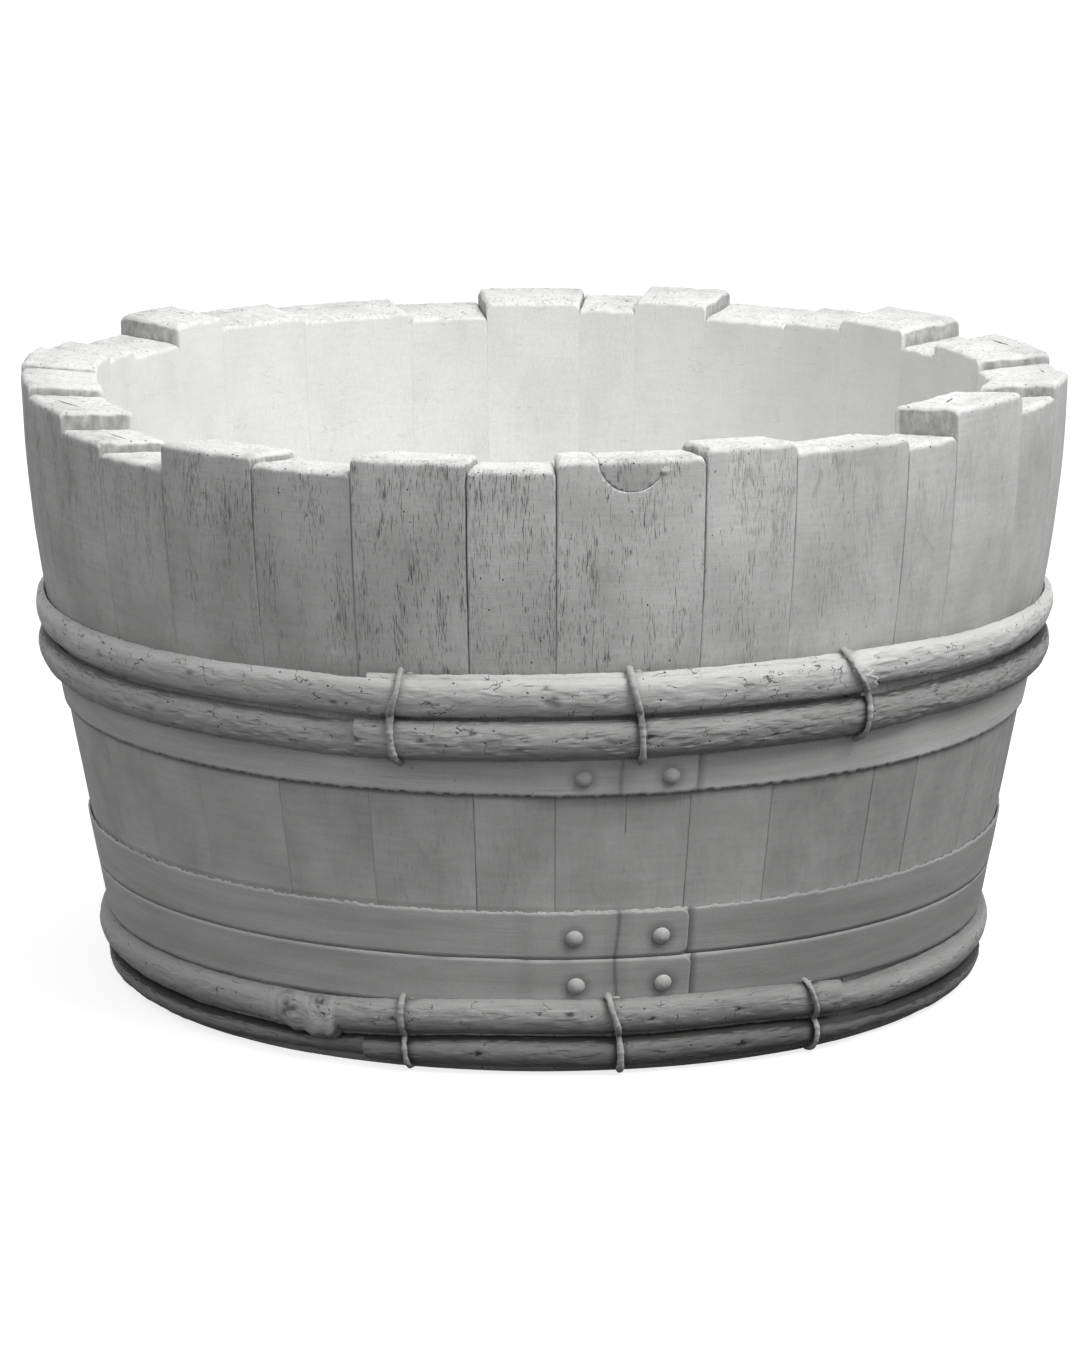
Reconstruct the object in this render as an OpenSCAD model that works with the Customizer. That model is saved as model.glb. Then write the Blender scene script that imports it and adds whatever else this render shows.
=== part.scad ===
// Half-barrel planter: a coopered tub of oak staves cut off at different heights,
// bound by three riveted iron bands and two pairs of lapped, lashed withy hoops.
// The tub stands on z = 0 around the Z axis and its front faces -Y.
// An azimuth is 0 at the front and grows towards +X, seen from above.

/* [Tub] */
// Outer diameter at the rim line
rim_d = 800; // [740:5:860]
// Outer diameter at the floor
foot_d = 654; // [620:2:690]
// Height of the rim line, which the stave tops step above and below
tub_h = 460; // [420:5:500]
// Height of the bent part of the staves, below the rim line
bend_h = 170; // [140:5:190]
// Lean of the staves at the rim line, in mm for each 100 mm of height
rim_lean = 2; // [0:0.5:6]
// Thickness of the staves, measured level
stave_t = 59; // [45:1:64]
// Radius worn onto the upper edges of the staves
edge_r = 4; // [1:0.5:6]
// How much lower the top of a stave is at its inner edge
top_fall = 4; // [0:0.5:7]
// Bevel cut inside the foot of the staves
chime_bevel = 12; // [4:1:18]
// Azimuth of the left edge of the stave that holds the bung
first_az = 1.2; // [0:0.1:3]

/* [Bottom] */
// Height of the underside of the bottom boards
head_z = 42; // [34:1:60]
// Thickness of the bottom boards
head_t = 28; // [22:1:32]
// Number of bottom boards
head_boards = 5; // [3:1:7]
// Thickness of the tongue that the boards hold in the croze groove
tongue_t = 12; // [8:1:16]
// Depth of the croze groove
croze_d = 8; // [5:0.5:11]
// Width of the bevel that thins the boards down to the tongue
board_bevel = 15; // [8:1:25]
// Diameter of the drain hole
drain_d = 25; // [12:1:40]
// Diameter of the dowels between the boards
dowel_d = 10; // [8:1:12]
// Length of the dowels
dowel_l = 50; // [36:2:70]
// Distance of the dowels from the ends of each joint
dowel_in = 110; // [70:5:125]

/* [Bung] */
// Diameter of the bung at the outer face
bung_d = 48; // [36:1:60]
// How much narrower the bung is at the inner face
bung_taper = 4; // [0:0.5:8]

/* [Iron bands] */
// Thickness of the iron
band_t = 2; // [1.5:0.1:3]
// Length of iron that laps over the other end of a band
band_lap = 110; // [100:1:140]
// Length over which a band steps up onto its own end
joggle_l = 18; // [12:1:30]
// Distance of the last rivet from the end of the lap
rivet_in = 20; // [12:1:26]
// Distance between the two rivets of a band
rivet_pitch = 63; // [50:1:70]
// Diameter of the rivet heads
rivet_d = 13; // [9:0.5:15]
// Height of the rivet heads
rivet_h = 4; // [2:0.5:5]
// Diameter of the rivet shanks
shank_d = 6; // [4:0.5:8]
// Radius of the corners at the end of the lap
lap_corner = 6; // [3:0.5:8]

/* [Withy hoops] */
// Height of the line between the two upper withies
upper_z = 271; // [266:1:280]
// Height of one upper withy
withy_h = 29; // [24:0.5:30]
// Gap between two withies of a pair
withy_gap = 1.3; // [1:0.1:3]
// How much higher the upper pair lies at the front than at its sides
withy_tilt = 6; // [0:0.5:8]
// How far the upper pair waves up and down around the tub
withy_wave = 3.5; // [0:0.5:4]
// Height of the lower edge of the foot pair
foot_edge = 2; // [2:0.5:4]
// Height of the line between the two foot withies
foot_split = 21; // [20:0.5:24]
// Height of the upper edge of the foot pair
foot_top = 51; // [44:0.5:51]
// How far the foot pair rises at its lap
foot_rise = 8.5; // [6:0.5:10]
// Thickness of a withy where it lies under its own other end
under_t = 5; // [4:0.5:6]
// Thickness of a withy where it laps over its own other end
over_t = 7.5; // [6:0.5:9]
// How far the end underneath shows past the end on top
peek = 3.2; // [0:0.2:4]
// Room for the cord between the foot band and the end underneath
tuck_room = 3.7; // [3.4:0.1:5]

/* [Lashings] */
// Diameter of the cord
cord_d = 4.2; // [3:0.2:5]
// Thickness of the cord where it is pinched behind the withies
pinch_t = 1.3; // [1:0.1:2]
// Width of the cord where it is pinched
pinch_w = 5.6; // [4:0.2:7]
// Sideways step of the cord over one turn
cord_step = 7.4; // [7.2:0.2:10]
// Azimuth of the middle lashing of the upper pair
upper_lash_az = 10; // [8:0.5:11]
// Azimuth of the middle lashing of the foot pair
foot_lash_az = 9; // [8:0.5:11]

/* [Fit] */
// Clearance between pieces that bear on each other
fit_gap = 0.3; // [0.2:0.05:0.5]

/* [Hidden] */
$fn = 96;

// The staves from the one with the bung, counting towards +X:
// width at the rim line, and how far the top stands above the rim line.
staves = [
    [108, 6], [70, 12], [100, 5], [52, -1], [91, 19], [81, 5], [94, 7], [94, -1],
    [107, 2], [56, -10], [85, 4], [66, -4], [86, -7], [70, 4], [54, -4], [89, 1],
    [75, -10], [112, -5], [100, -1], [63, 8], [85, -7], [70, 0], [77, 6], [89, 1],
    [89, 3], [61, -11], [75, -19], [85, -1], [80, -7], [85, 4], [64, -1]
];

// The iron bands: name, lower edge, width, height of the rivets above the lower
// edge, and azimuth of the end of the lap.
bands = [
    ["middle_band", 216, 38, 15, 17.1],
    ["lower_band", 90.3, 37.5, 17, 17.2],
    ["foot_band", 51.5, 38, 18.5, 17.8]
];

// The withy hoops: name, thickness, turn towards +X (1) or -X (-1) from the end
// underneath, and the azimuths of the end underneath and of the end on top.
withies = [
    ["upper_withy_top", 9, 1, -19, 37.6],
    ["upper_withy_bottom", 10, -1, 38.5, -20.3],
    ["foot_withy_top", 10.5, 1, -30, 39],
    ["foot_withy_bottom", 9.5, -1, 40, -22.7]
];
upper_pair = [0, 1];
foot_pair = [2, 3];

// The lashings: name, pair of withies, azimuth of the middle one of its three,
// steps of rings from there, and how far the cord leans sideways at the top.
lash_rings = 8;
lashings = [
    ["upper_lashing_left", upper_pair, upper_lash_az, -lash_rings, 9],
    ["upper_lashing_middle", upper_pair, upper_lash_az, 0, -5],
    ["upper_lashing_right", upper_pair, upper_lash_az, lash_rings, -16],
    ["foot_lashing_left", foot_pair, foot_lash_az, -lash_rings, 2],
    ["foot_lashing_middle", foot_pair, foot_lash_az, 0, -6],
    ["foot_lashing_right", foot_pair, foot_lash_az, lash_rings, -8]
];

function two_digits(n) = str(n < 10 ? "0" : "", n);
stave_names = [for (i = [1:len(staves)]) str("stave_", two_digits(i))];
board_names = [for (i = [1:head_boards]) str("bottom_board_", i)];
function first_of(rows) = [for (row = rows) row[0]];

wood = [0.80, 0.79, 0.77];
old_wood = [0.72, 0.71, 0.69];
iron = [0.56, 0.56, 0.55];
rivet_iron = [0.66, 0.66, 0.65];
bark = [0.86, 0.85, 0.82];
cord_grey = [0.76, 0.75, 0.72];

// ---- The outer face of the staves: straight up to bend_z, then a gentle bend.
rim_r = rim_d / 2;
foot_r = foot_d / 2;
bend_z = tub_h - bend_h;
top_slope = rim_lean / 100;
slope = (rim_r - foot_r - bend_h * top_slope / 2) / (tub_h - bend_h / 2);
bend = (slope - top_slope) / (2 * bend_h);
upright = cos(atan(slope));
function wall_r(z) = foot_r + slope * z - bend * pow(max(z - bend_z, 0), 2);
function inner_r(z) = wall_r(z) - stave_t;

// ---- The croze groove and the bottom disc that fits it.
head_mid = head_z + head_t / 2;
croze_r = inner_r(head_mid) + croze_d;
croze_half = tongue_t / 2 + fit_gap;
head_r = croze_r - fit_gap;
tongue_l = croze_d + 2;
board_w = 2 * head_r / head_boards;

function sum_to(rows, n) = n <= 0 ? 0 : rows[n - 1][0] + sum_to(rows, n - 1);
all_w = sum_to(staves, len(staves));
function stave_az(i) = first_az + 360 * sum_to(staves, i) / all_w;
function stave_top(i) = tub_h + staves[i][1];
bung_az = (stave_az(0) + stave_az(1)) / 2;

// Azimuth swept by a length of arc along the outer face at height z
function arc_az(l, z) = l / wall_r(z) * 180 / PI;

// Turns local X to point outwards at an azimuth
module facing(az) {
    rotate([0, 0, az - 90]) children();
}

// Puts the children on the outer face: local Z outwards, X towards +X, Y up
module on_wall(az, z) {
    facing(az) translate([wall_r(z), 0, z]) rotate([90 + atan(slope), 0, 90]) children();
}

// ---- Staves
bend_parts = 6;
function stave_profile(top) =
    let (
        outer = top - edge_r,
        inner = outer - top_fall,
        outer_arc = [wall_r(outer) - edge_r, outer],
        inner_arc = [inner_r(inner) + edge_r, inner],
        up = [for (k = [0:bend_parts]) k / bend_parts],
        down = [for (k = [bend_parts:-1:0]) k / bend_parts]
    )
    concat(
        [[foot_r, 0]],
        [for (u = up) let (z = bend_z + (outer - bend_z) * u) [wall_r(z), z]],
        [for (a = [30:30:90]) outer_arc + edge_r * [cos(a), sin(a)]],
        [for (a = [90:30:150]) inner_arc + edge_r * [cos(a), sin(a)]],
        [for (u = down) let (z = bend_z + (inner - bend_z) * u) [inner_r(z), z]],
        [
            [inner_r(head_mid + croze_half), head_mid + croze_half],
            [croze_r, head_mid + croze_half],
            [croze_r, head_mid - croze_half],
            [inner_r(head_mid - croze_half), head_mid - croze_half],
            [inner_r(chime_bevel), chime_bevel],
            [inner_r(0) + chime_bevel, 0]
        ]
    );

module stave_blank(i) {
    facing(stave_az(i))
        rotate_extrude(angle = stave_az(i + 1) - stave_az(i)) polygon(stave_profile(stave_top(i)));
}

// The bung hole was cut in half with the barrel, so its axis is level with the top
module bung_cone(gap) {
    over = 20;
    growth = bung_taper / 2 / stave_t * over;
    facing(bung_az) translate([inner_r(stave_top(0)) - over, 0, stave_top(0)]) rotate([0, 90, 0])
        cylinder(
            h = stave_t + 2 * over,
            r1 = bung_d / 2 - bung_taper / 2 - growth + gap,
            r2 = bung_d / 2 + growth + gap
        );
}

module stave(i) {
    color(i % 2 == 0 ? wood : old_wood) difference() {
        stave_blank(i);
        if (i == 0) bung_cone(fit_gap);
    }
}

module half_bung() {
    color(old_wood) intersection() {
        stave_blank(0);
        bung_cone(0);
    }
}

// ---- Bottom boards
module bottom_disc() {
    top = head_z + head_t;
    rotate_extrude() polygon([
        [0, head_z],
        [head_r - tongue_l - board_bevel, head_z],
        [head_r - tongue_l, head_mid - tongue_t / 2],
        [head_r, head_mid - tongue_t / 2],
        [head_r, head_mid + tongue_t / 2],
        [head_r - tongue_l, head_mid + tongue_t / 2],
        [head_r - tongue_l - board_bevel, top],
        [0, top]
    ]);
}

function joint_y(k) = -head_r + k * board_w;
function dowel_x(k) = sqrt(pow(head_r, 2) - pow(joint_y(k), 2)) - dowel_in;

module dowels(gap) {
    for (k = [1:head_boards - 1], side = [-1, 1])
        translate([side * dowel_x(k), joint_y(k) - dowel_l / 2 - gap, head_mid]) rotate([-90, 0, 0])
            cylinder(h = dowel_l + 2 * gap, d = dowel_d + 2 * gap);
}

module bottom_board(k) {
    color(wood) difference() {
        intersection() {
            bottom_disc();
            translate([-head_r, joint_y(k), 0]) cube([2 * head_r, board_w, tub_h]);
        }
        dowels(fit_gap / 2);
        cylinder(h = tub_h, d = drain_d);
    }
}

module bottom_dowels() {
    color(old_wood) dowels(0);
}

// ---- Iron bands: the outer end steps up and laps over the end underneath
lap_in = band_t + 2 * fit_gap;
lap_out = lap_in + band_t;
band_mid_in = fit_gap + band_t / 2;
lap_mid_in = lap_in + band_t / 2;
corner_deep = 9 * band_t;

function band_mid(b) = b[1] + b[2] / 2;
function rivet_az(b, n) = b[4] - arc_az(rivet_in + n * rivet_pitch, b[1] + b[3]);

// Section of a band between two distances from the staves
function band_profile(b, in, out) =
    let (low = b[1], high = b[1] + b[2])
    [
        [wall_r(low) + in, low],
        [wall_r(low) + out, low],
        [wall_r(high) + out, high],
        [wall_r(high) + in, high]
    ];

// Everything outside the slope by which the outer end steps up
module above_joggle(b, step_out) {
    fall = pow(joggle_l, 2) / (2 * wall_r(band_mid(b)));
    tilt = atan((lap_out - band_t + fall) * upright / joggle_l);
    reach = b[2] + 10;
    on_wall(step_out, band_mid(b)) translate([0, 0, lap_out * upright])
        rotate([0, -tilt, 0]) translate([-3 * joggle_l, -reach / 2, 0])
            cube([3 * joggle_l, reach, corner_deep]);
}

// What is cut off a square corner of the lap to round it
module corner_waste(b, side) {
    on_wall(b[4], band_mid(b)) translate([0, side * b[2] / 2 / upright, 0]) difference() {
        translate([-lap_corner, -lap_corner, 0])
            cube([2 * lap_corner, 2 * lap_corner, corner_deep]);
        translate([-lap_corner, -side * lap_corner, -1])
            cylinder(h = corner_deep + 2, r = lap_corner);
        translate([-3 * lap_corner, -2 * lap_corner, -1])
            cube([2 * lap_corner, 4 * lap_corner, corner_deep + 2]);
    }
}

module iron_band(b) {
    step_out = b[4] - arc_az(band_lap, band_mid(b));
    step_in = step_out - arc_az(1.3 * joggle_l, band_mid(b));
    color(iron) difference() {
        union() {
            rotate_extrude() polygon(band_profile(b, fit_gap, fit_gap + band_t));
            difference() {
                union() {
                    facing(step_in) rotate_extrude(angle = step_out - step_in)
                        polygon(band_profile(b, band_mid_in, lap_mid_in));
                    facing(step_in) rotate_extrude(angle = b[4] - step_in)
                        polygon(band_profile(b, lap_in, lap_out));
                }
                above_joggle(b, step_out);
                for (side = [-1, 1]) corner_waste(b, side);
            }
        }
        for (n = [0, 1])
            on_wall(rivet_az(b, n), b[1] + b[3]) translate([0, 0, -band_t])
                cylinder(h = 6 * band_t, d = shank_d + fit_gap);
    }
}

// A round-headed rivet, its shank flush with the back of the iron
module rivet() {
    seat = lap_out * upright + 0.05;
    ball_r = (pow(rivet_d / 2, 2) + pow(rivet_h, 2)) / (2 * rivet_h);
    translate([0, 0, fit_gap]) cylinder(h = seat - fit_gap + rivet_h / 2, d = shank_d);
    translate([0, 0, seat]) intersection() {
        translate([0, 0, rivet_h - ball_r]) sphere(ball_r);
        cylinder(h = rivet_h + 1, d = rivet_d + 1);
    }
}

module band_rivets() {
    color(rivet_iron) for (b = bands, n = [0, 1]) on_wall(rivet_az(b, n), b[1] + b[3]) rivet();
}

// ---- Withy hoops: split rods bent round the tub, each lapped over its own end
ring_n = 110;
ring_step = 360 / ring_n;
section_n = 9;
fullness = 0.85;
lap_ramp = 3 * ring_step;
untuck = 6 * ring_step;
lash_lift = pinch_t + fit_gap;
under_room = cord_d + fit_gap + 0.9;
middle_band_top = bands[0][1] + bands[0][2];
foot_band_low = bands[2][1];

function ease(x) = let (u = min(max(x, 0), 1)) u * u * (3 - 2 * u);
function mix(a, b, u) = a + (b - a) * u;
function turn_off(az) = az - 360 * round(az / 360);
function hump(az, from, to, ramp) =
    let (a = turn_off(az)) ease((a - from) / ramp) * ease((to - a) / ramp);

function upper_line(az) = upper_z + withy_tilt * cos(az) + withy_wave * sin(2 * az);
function foot_lift(az) = foot_rise * hump(az, -32, 50, 26);
function foot_room(az) = hump(az, -48, 62, 18);

// Lower and upper edge of hoop w, where over is 1 on its end on top and tucked
// is 1 on its end underneath
function withy_edges(w, az, over, tucked) =
    w == 0 ? (upper_line(az) + withy_gap / 2 + peek * tucked) * [1, 1] + [0, withy_h]
    : w == 1 ? (upper_line(az) - withy_gap / 2 - peek * tucked) * [1, 1] - [withy_h, 0]
    : w == 2 ? [
        foot_split + withy_gap / 2 + foot_lift(az) + peek * (foot_room(az) - tucked),
        mix(foot_top + foot_lift(az) * over, foot_band_low - tuck_room, tucked)
    ]
    : [
        mix(foot_edge, under_room, foot_room(az)),
        foot_split - withy_gap / 2 + foot_lift(az)
    ];

// How far what hoop w lies on stands off the staves: the lower withy of the upper
// pair rests on the middle band, and on its lap
function withy_seat(w, az) = w == 1 ? (band_t + fit_gap) * (1 + hump(az, -21, 35, 16)) : 0;

// How far hoop w makes room for the cords behind it
function cord_lift(w, az) =
    let (
        middle = w < 2 ? upper_lash_az : foot_lash_az,
        away = min([for (k = [-1:1]) abs(turn_off(az - middle) - k * lash_rings * ring_step)])
    )
    lash_lift * ease(2.5 - away / ring_step);

// Turns of hoop w at its rings, from the end underneath to the end on top, with
// rings at the lashings
function withy_turns(w) =
    let (
        turn = withies[w][2],
        from = turn * withies[w][3],
        to = turn * withies[w][4] + 360,
        zero = turn * (w < 2 ? upper_lash_az : foot_lash_az),
        low = ceil((from - zero) / ring_step + 0.3),
        high = floor((to - zero) / ring_step - 0.3)
    )
    concat([from], [for (k = [low:high]) zero + k * ring_step], [to]);

// Section of hoop w after it has turned by q: middle and half of its height,
// distance of its back from the staves, and thickness
function withy_at(w, q) =
    let (
        turn = withies[w][2],
        az = turn * q,
        past_top_end = q - turn * withies[w][4],
        before_lap = q - (turn * withies[w][3] + 360 - lap_ramp),
        full = ease(past_top_end / (2 * ring_step)),
        tucked = 1 - ease(past_top_end / untuck),
        over = ease(before_lap / lap_ramp),
        knots = 1 + 0.05 * sin(5 * q + 70 * w) + 0.04 * sin(13 * q + 40 * w),
        edges = withy_edges(w, az, over, tucked)
    )
    [
        (edges[0] + edges[1]) / 2,
        (edges[1] - edges[0]) / 2,
        fit_gap + withy_seat(w, az) + cord_lift(w, az) + (under_t + fit_gap) * over,
        mix(mix(under_t, withies[w][1] * knots, full), over_t, over)
    ];

// Point of a section at an angle from its upper edge, a gap away from its face,
// as distance from the staves and height
function section_point(section, a, gap) =
    let (
        half = section[1],
        t = section[3],
        face = [section[2] + t * pow(sin(a), fullness), section[0] + half * cos(a)],
        out = [half * sin(a), t * fullness * pow(max(sin(a), 0.01), fullness - 1) * cos(a)]
    )
    face + gap * out / norm(out);

// A distance from the staves and a height at an azimuth, in space
function in_space(p, az) = let (r = wall_r(p[1]) + p[0]) [r * sin(az), -r * cos(az), p[1]];

function withy_ring(w, q) =
    [
        for (j = [0:section_n])
            in_space(section_point(withy_at(w, q), 180 * j / section_n, 0), withies[w][2] * q)
    ];

// One closed surface over a row of rings, wound so that its faces look outwards
module skin(rings, flip) {
    m = len(rings[0]);
    n = len(rings);
    sides = [
        for (i = [0:n - 2], j = [0:m - 1])
            let (a = i * m + j, b = i * m + (j + 1) % m, c = b + m, d = a + m)
            each [[a, b, c], [a, c, d]]
    ];
    ends = [for (j = [1:m - 2]) each [[0, j + 1, j], [(n - 1) * m, (n - 1) * m + j, (n - 1) * m + j + 1]]];
    faces = concat(sides, ends);
    polyhedron(
        points = [for (ring = rings) each ring],
        faces = flip ? [for (f = faces) [f[2], f[1], f[0]]] : faces
    );
}

module withy_hoop(w) {
    color(bark) skin([for (q = withy_turns(w)) withy_ring(w, q)], withies[w][2] > 0);
}

// ---- Lashings: one turn of cord round both withies, its ends pinched behind them
bulge_n = 9;
cord_sides = 6;
cord_r = cord_d / 2;
pinched = fit_gap + pinch_t / 2;
skin_gap = cord_r + fit_gap;
crown_z = cord_r + 0.9;

function lash_az(row) = row[2] + row[3] * ring_step;
function withy_end(w, az, on_top) = withy_at(w, withies[w][2] * az + (on_top ? 360 : 0));

// The pinched cord behind the upper pair, from the middle band up
function behind_upper(seat, low_z, mid_z, high_z) = [
    [seat + pinched, low_z - 0.6],
    [seat + pinched, middle_band_top + 1],
    [pinched, mid_z - 3],
    [pinched, (mid_z + high_z) / 2],
    [pinched, high_z + 0.6]
];

// The pinched cord behind the foot pair, up past its tucked end onto the foot band
function behind_foot(low_z, high_z) =
    let (tuck_z = foot_band_low - tuck_room)
    [
        [pinched, low_z - 0.6],
        [pinched, tuck_z - 0.6],
        [pinched + pinch_t / 2, tuck_z + 1.8],
        [lap_out + 0.2, foot_band_low - 1.8],
        [lap_out + pinched, foot_band_low + 0.8],
        [lap_out + pinched, high_z + 0.6]
    ];

// Points of one turn of a lashing, each with its distance from the staves, its
// height, and the cord's half thickness and half width there
function cord_turn(row) =
    let (
        az = lash_az(row),
        top = row[1][0],
        low = row[1][1],
        top_out = withy_end(top, az, true),
        top_in = withy_end(top, az, false),
        low_out = withy_end(low, az, true),
        low_in = withy_end(low, az, false),
        high_z = max(top_out[0] + top_out[1], top_in[0] + top_in[1]),
        low_z = min(low_out[0] - low_out[1], low_in[0] - low_in[1]),
        mid_z = (top_out[0] - top_out[1] + low_out[0] + low_out[1]) / 2,
        behind = row[1] == upper_pair
            ? behind_upper(withy_seat(low, az), low_z, mid_z, high_z)
            : behind_foot(low_z, high_z),
        back = [for (p = behind) [p[0], p[1], pinch_t / 2, pinch_w / 2]],
        up_x = behind[len(behind) - 1][0] - pinched,
        down_x = behind[0][0] - pinched,
        over_top = [for (k = [0:bulge_n]) section_point(top_out, mix(8, 160, k / bulge_n), skin_gap)],
        over_low = [for (k = [0:bulge_n]) section_point(low_out, mix(20, 172, k / bulge_n), skin_gap)],
        front = concat(
            [[up_x + skin_gap, high_z + crown_z]],
            [for (p = over_top) if (p[1] > mid_z + 0.4) p],
            [for (p = over_low) if (p[1] < mid_z - 0.4) p],
            [[down_x + skin_gap, low_z - crown_z]]
        )
    )
    concat(back, [for (p = front) [p[0], p[1], cord_r, cord_r]], back);

// Sideways offset of point i of n, for the step over the turn and the lean at the top
function cord_side(row, i, n, z) =
    let (mid_z = withy_end(row[1][1], lash_az(row), true)[0] + withy_h / 2)
    cord_step * (i / (n - 1) - 0.5) + row[4] * ease((z - mid_z) / withy_h);

function cord_line(row) =
    let (turn = cord_turn(row), n = len(turn))
    [
        for (i = [0:n - 1])
            let (p = turn[i], side = cord_side(row, i, n, p[1]) / (wall_r(p[1]) + p[0]))
            in_space(p, lash_az(row) + side * 180 / PI)
    ];

function cord_rings(row) =
    let (
        turn = cord_turn(row),
        line = cord_line(row),
        n = len(turn),
        out = [sin(lash_az(row)), -cos(lash_az(row)), 0],
        side = [cos(lash_az(row)), sin(lash_az(row)), 0]
    )
    [
        for (i = [0:n - 1])
            let (
                ahead = line[min(i + 1, n - 1)] - line[max(i - 1, 0)],
                flat = [ahead * out, ahead[2]] / norm([ahead * out, ahead[2]]),
                away = flat[1] * out - [0, 0, flat[0]]
            )
            [
                for (k = [0:cord_sides - 1])
                    let (a = 360 * (k + 0.5) / cord_sides)
                    line[i] + turn[i][2] * cos(a) * away + turn[i][3] * sin(a) * side
            ]
    ];

module lashing(row) {
    color(cord_grey) skin(cord_rings(row), true);
}

// The two ends of a cord lie side by side behind the withies
for (row = lashings)
    let (line = cord_line(row), n = len(line), back_n = row[1] == upper_pair ? 5 : 6)
        echo(str(
            row[0], ": least gap of the cord to itself, mm: ",
            min([for (i = [0:back_n - 1], j = [n - back_n:n - 1]) norm(line[i] - line[j])]) - pinch_w
        ));

for (i = [0:len(staves) - 1])
    stave(i);
half_bung();
for (k = [0:head_boards - 1])
    bottom_board(k);
bottom_dowels();
for (b = bands)
    iron_band(b);
band_rivets();
for (w = [0:len(withies) - 1])
    withy_hoop(w);
for (row = lashings)
    lashing(row);
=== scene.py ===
"""A half-barrel planter: limewashed oak staves, split-withy hoops, cord lashings and iron bands.

Lengths are in metres. The tub stands around the Z axis and its front faces -Y. An azimuth is 0
at the front and grows towards +X, seen from above.
"""

import math
from functools import partial

import bmesh
import bpy
import numpy as np
from mathutils.kdtree import KDTree
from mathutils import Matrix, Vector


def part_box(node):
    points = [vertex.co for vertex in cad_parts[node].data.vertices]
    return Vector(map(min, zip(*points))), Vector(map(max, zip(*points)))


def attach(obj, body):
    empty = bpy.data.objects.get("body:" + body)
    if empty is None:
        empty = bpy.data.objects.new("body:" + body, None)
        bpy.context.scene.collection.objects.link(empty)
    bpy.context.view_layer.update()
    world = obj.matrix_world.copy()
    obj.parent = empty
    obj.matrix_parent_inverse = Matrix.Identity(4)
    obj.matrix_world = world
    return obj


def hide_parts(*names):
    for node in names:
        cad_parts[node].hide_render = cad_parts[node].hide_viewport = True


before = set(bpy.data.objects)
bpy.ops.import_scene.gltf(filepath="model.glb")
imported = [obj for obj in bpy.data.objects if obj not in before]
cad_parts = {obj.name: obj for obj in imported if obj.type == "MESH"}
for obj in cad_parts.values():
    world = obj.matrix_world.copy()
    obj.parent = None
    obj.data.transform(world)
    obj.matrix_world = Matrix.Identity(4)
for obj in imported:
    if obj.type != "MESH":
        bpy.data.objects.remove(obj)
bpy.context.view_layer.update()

MM = 0.001
VECTOR = "ShaderNodeVectorMath"
NOISE = "ShaderNodeTexNoise"
CELLS = "ShaderNodeTexVoronoi"
RANGE = "ShaderNodeMapRange"
MIX = "ShaderNodeMix"
SMOOTH = {"interpolation_type": "SMOOTHSTEP"}
# Operations of the Math node that take two values, and more of them in turn
CHAINED = ("ADD", "SUBTRACT", "MULTIPLY", "DIVIDE", "MAXIMUM", "MINIMUM")

# ---- The tub's own shape, as the cooper cut it
FOOT_R = 327 * MM
RIM_R = 400 * MM
RIM_Z = 460 * MM
BEND_H = 170 * MM
RIM_SLOPE = 0.02
WALL = 59 * MM
TOP_FALL = 4 * MM
BEND_Z = RIM_Z - BEND_H
SLOPE = (RIM_R - FOOT_R - BEND_H * RIM_SLOPE / 2) / (RIM_Z - BEND_H / 2)
BEND = (SLOPE - RIM_SLOPE) / (2 * BEND_H)
BUNG_D = 48 * MM
BUNG_TAPER = 4 * MM
DRAIN_R = 12.5 * MM
# The iron bands: their thickness, their clearance, the length of their lap and of its step
IRON = 2 * MM
FIT = 0.3 * MM
LAP = 110 * MM
JOGGLE = 18 * MM
# Added to a distance, it puts the points on the tub's other side out of a mark's reach
FAR = 10.0


def wall_r(z):
    """Outer radius of the staves at a height."""
    return FOOT_R + SLOPE * z - BEND * np.maximum(z - BEND_Z, 0) ** 2


def own_share(number):
    """A share from 0 to 1 that differs from one board to the next."""
    return number * 0.618 % 1


# ---- Trees of nodes, for materials and for meshes
def put(tree, kind, inputs=(), out=0, **settings):
    """Adds a node with its settings and inputs, by index or by name, and returns one output.

    A kind in capitals is an operation of the Math node. Patterns take their size from their
    position, so their own scale is 1.
    """
    if kind.isupper():
        while kind in CHAINED and len(inputs) > 2:
            inputs = (put(tree, kind, inputs[:2]), *inputs[2:])
        kind, settings["operation"] = "ShaderNodeMath", kind
    made = tree.nodes.new(kind)
    if kind in (NOISE, CELLS):
        made.inputs["Scale"].default_value = 1.0
    for name, value in settings.items():
        setattr(made, name, value)
    for key, value in inputs.items() if isinstance(inputs, dict) else enumerate(inputs):
        if isinstance(value, bpy.types.NodeSocket):
            tree.links.new(value, made.inputs[key])
        else:
            made.inputs[key].default_value = value
    return made.outputs[out]


def shape_tree(name, sizes, grows_on_mesh=False):
    """A Geometry Nodes tree with named inputs. Returns it, put for it, and its inputs by name."""
    tree = bpy.data.node_groups.new(name, "GeometryNodeTree")
    tree.interface.new_socket("Geometry", in_out="OUTPUT", socket_type="NodeSocketGeometry")
    if grows_on_mesh:
        tree.interface.new_socket("Geometry", in_out="INPUT", socket_type="NodeSocketGeometry")
    for size in sizes:
        tree.interface.new_socket(size, in_out="INPUT", socket_type="NodeSocketFloat")
    tree.interface.new_socket("Material", in_out="INPUT", socket_type="NodeSocketMaterial")
    return tree, partial(put, tree), tree.nodes.new("NodeGroupInput").outputs


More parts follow.
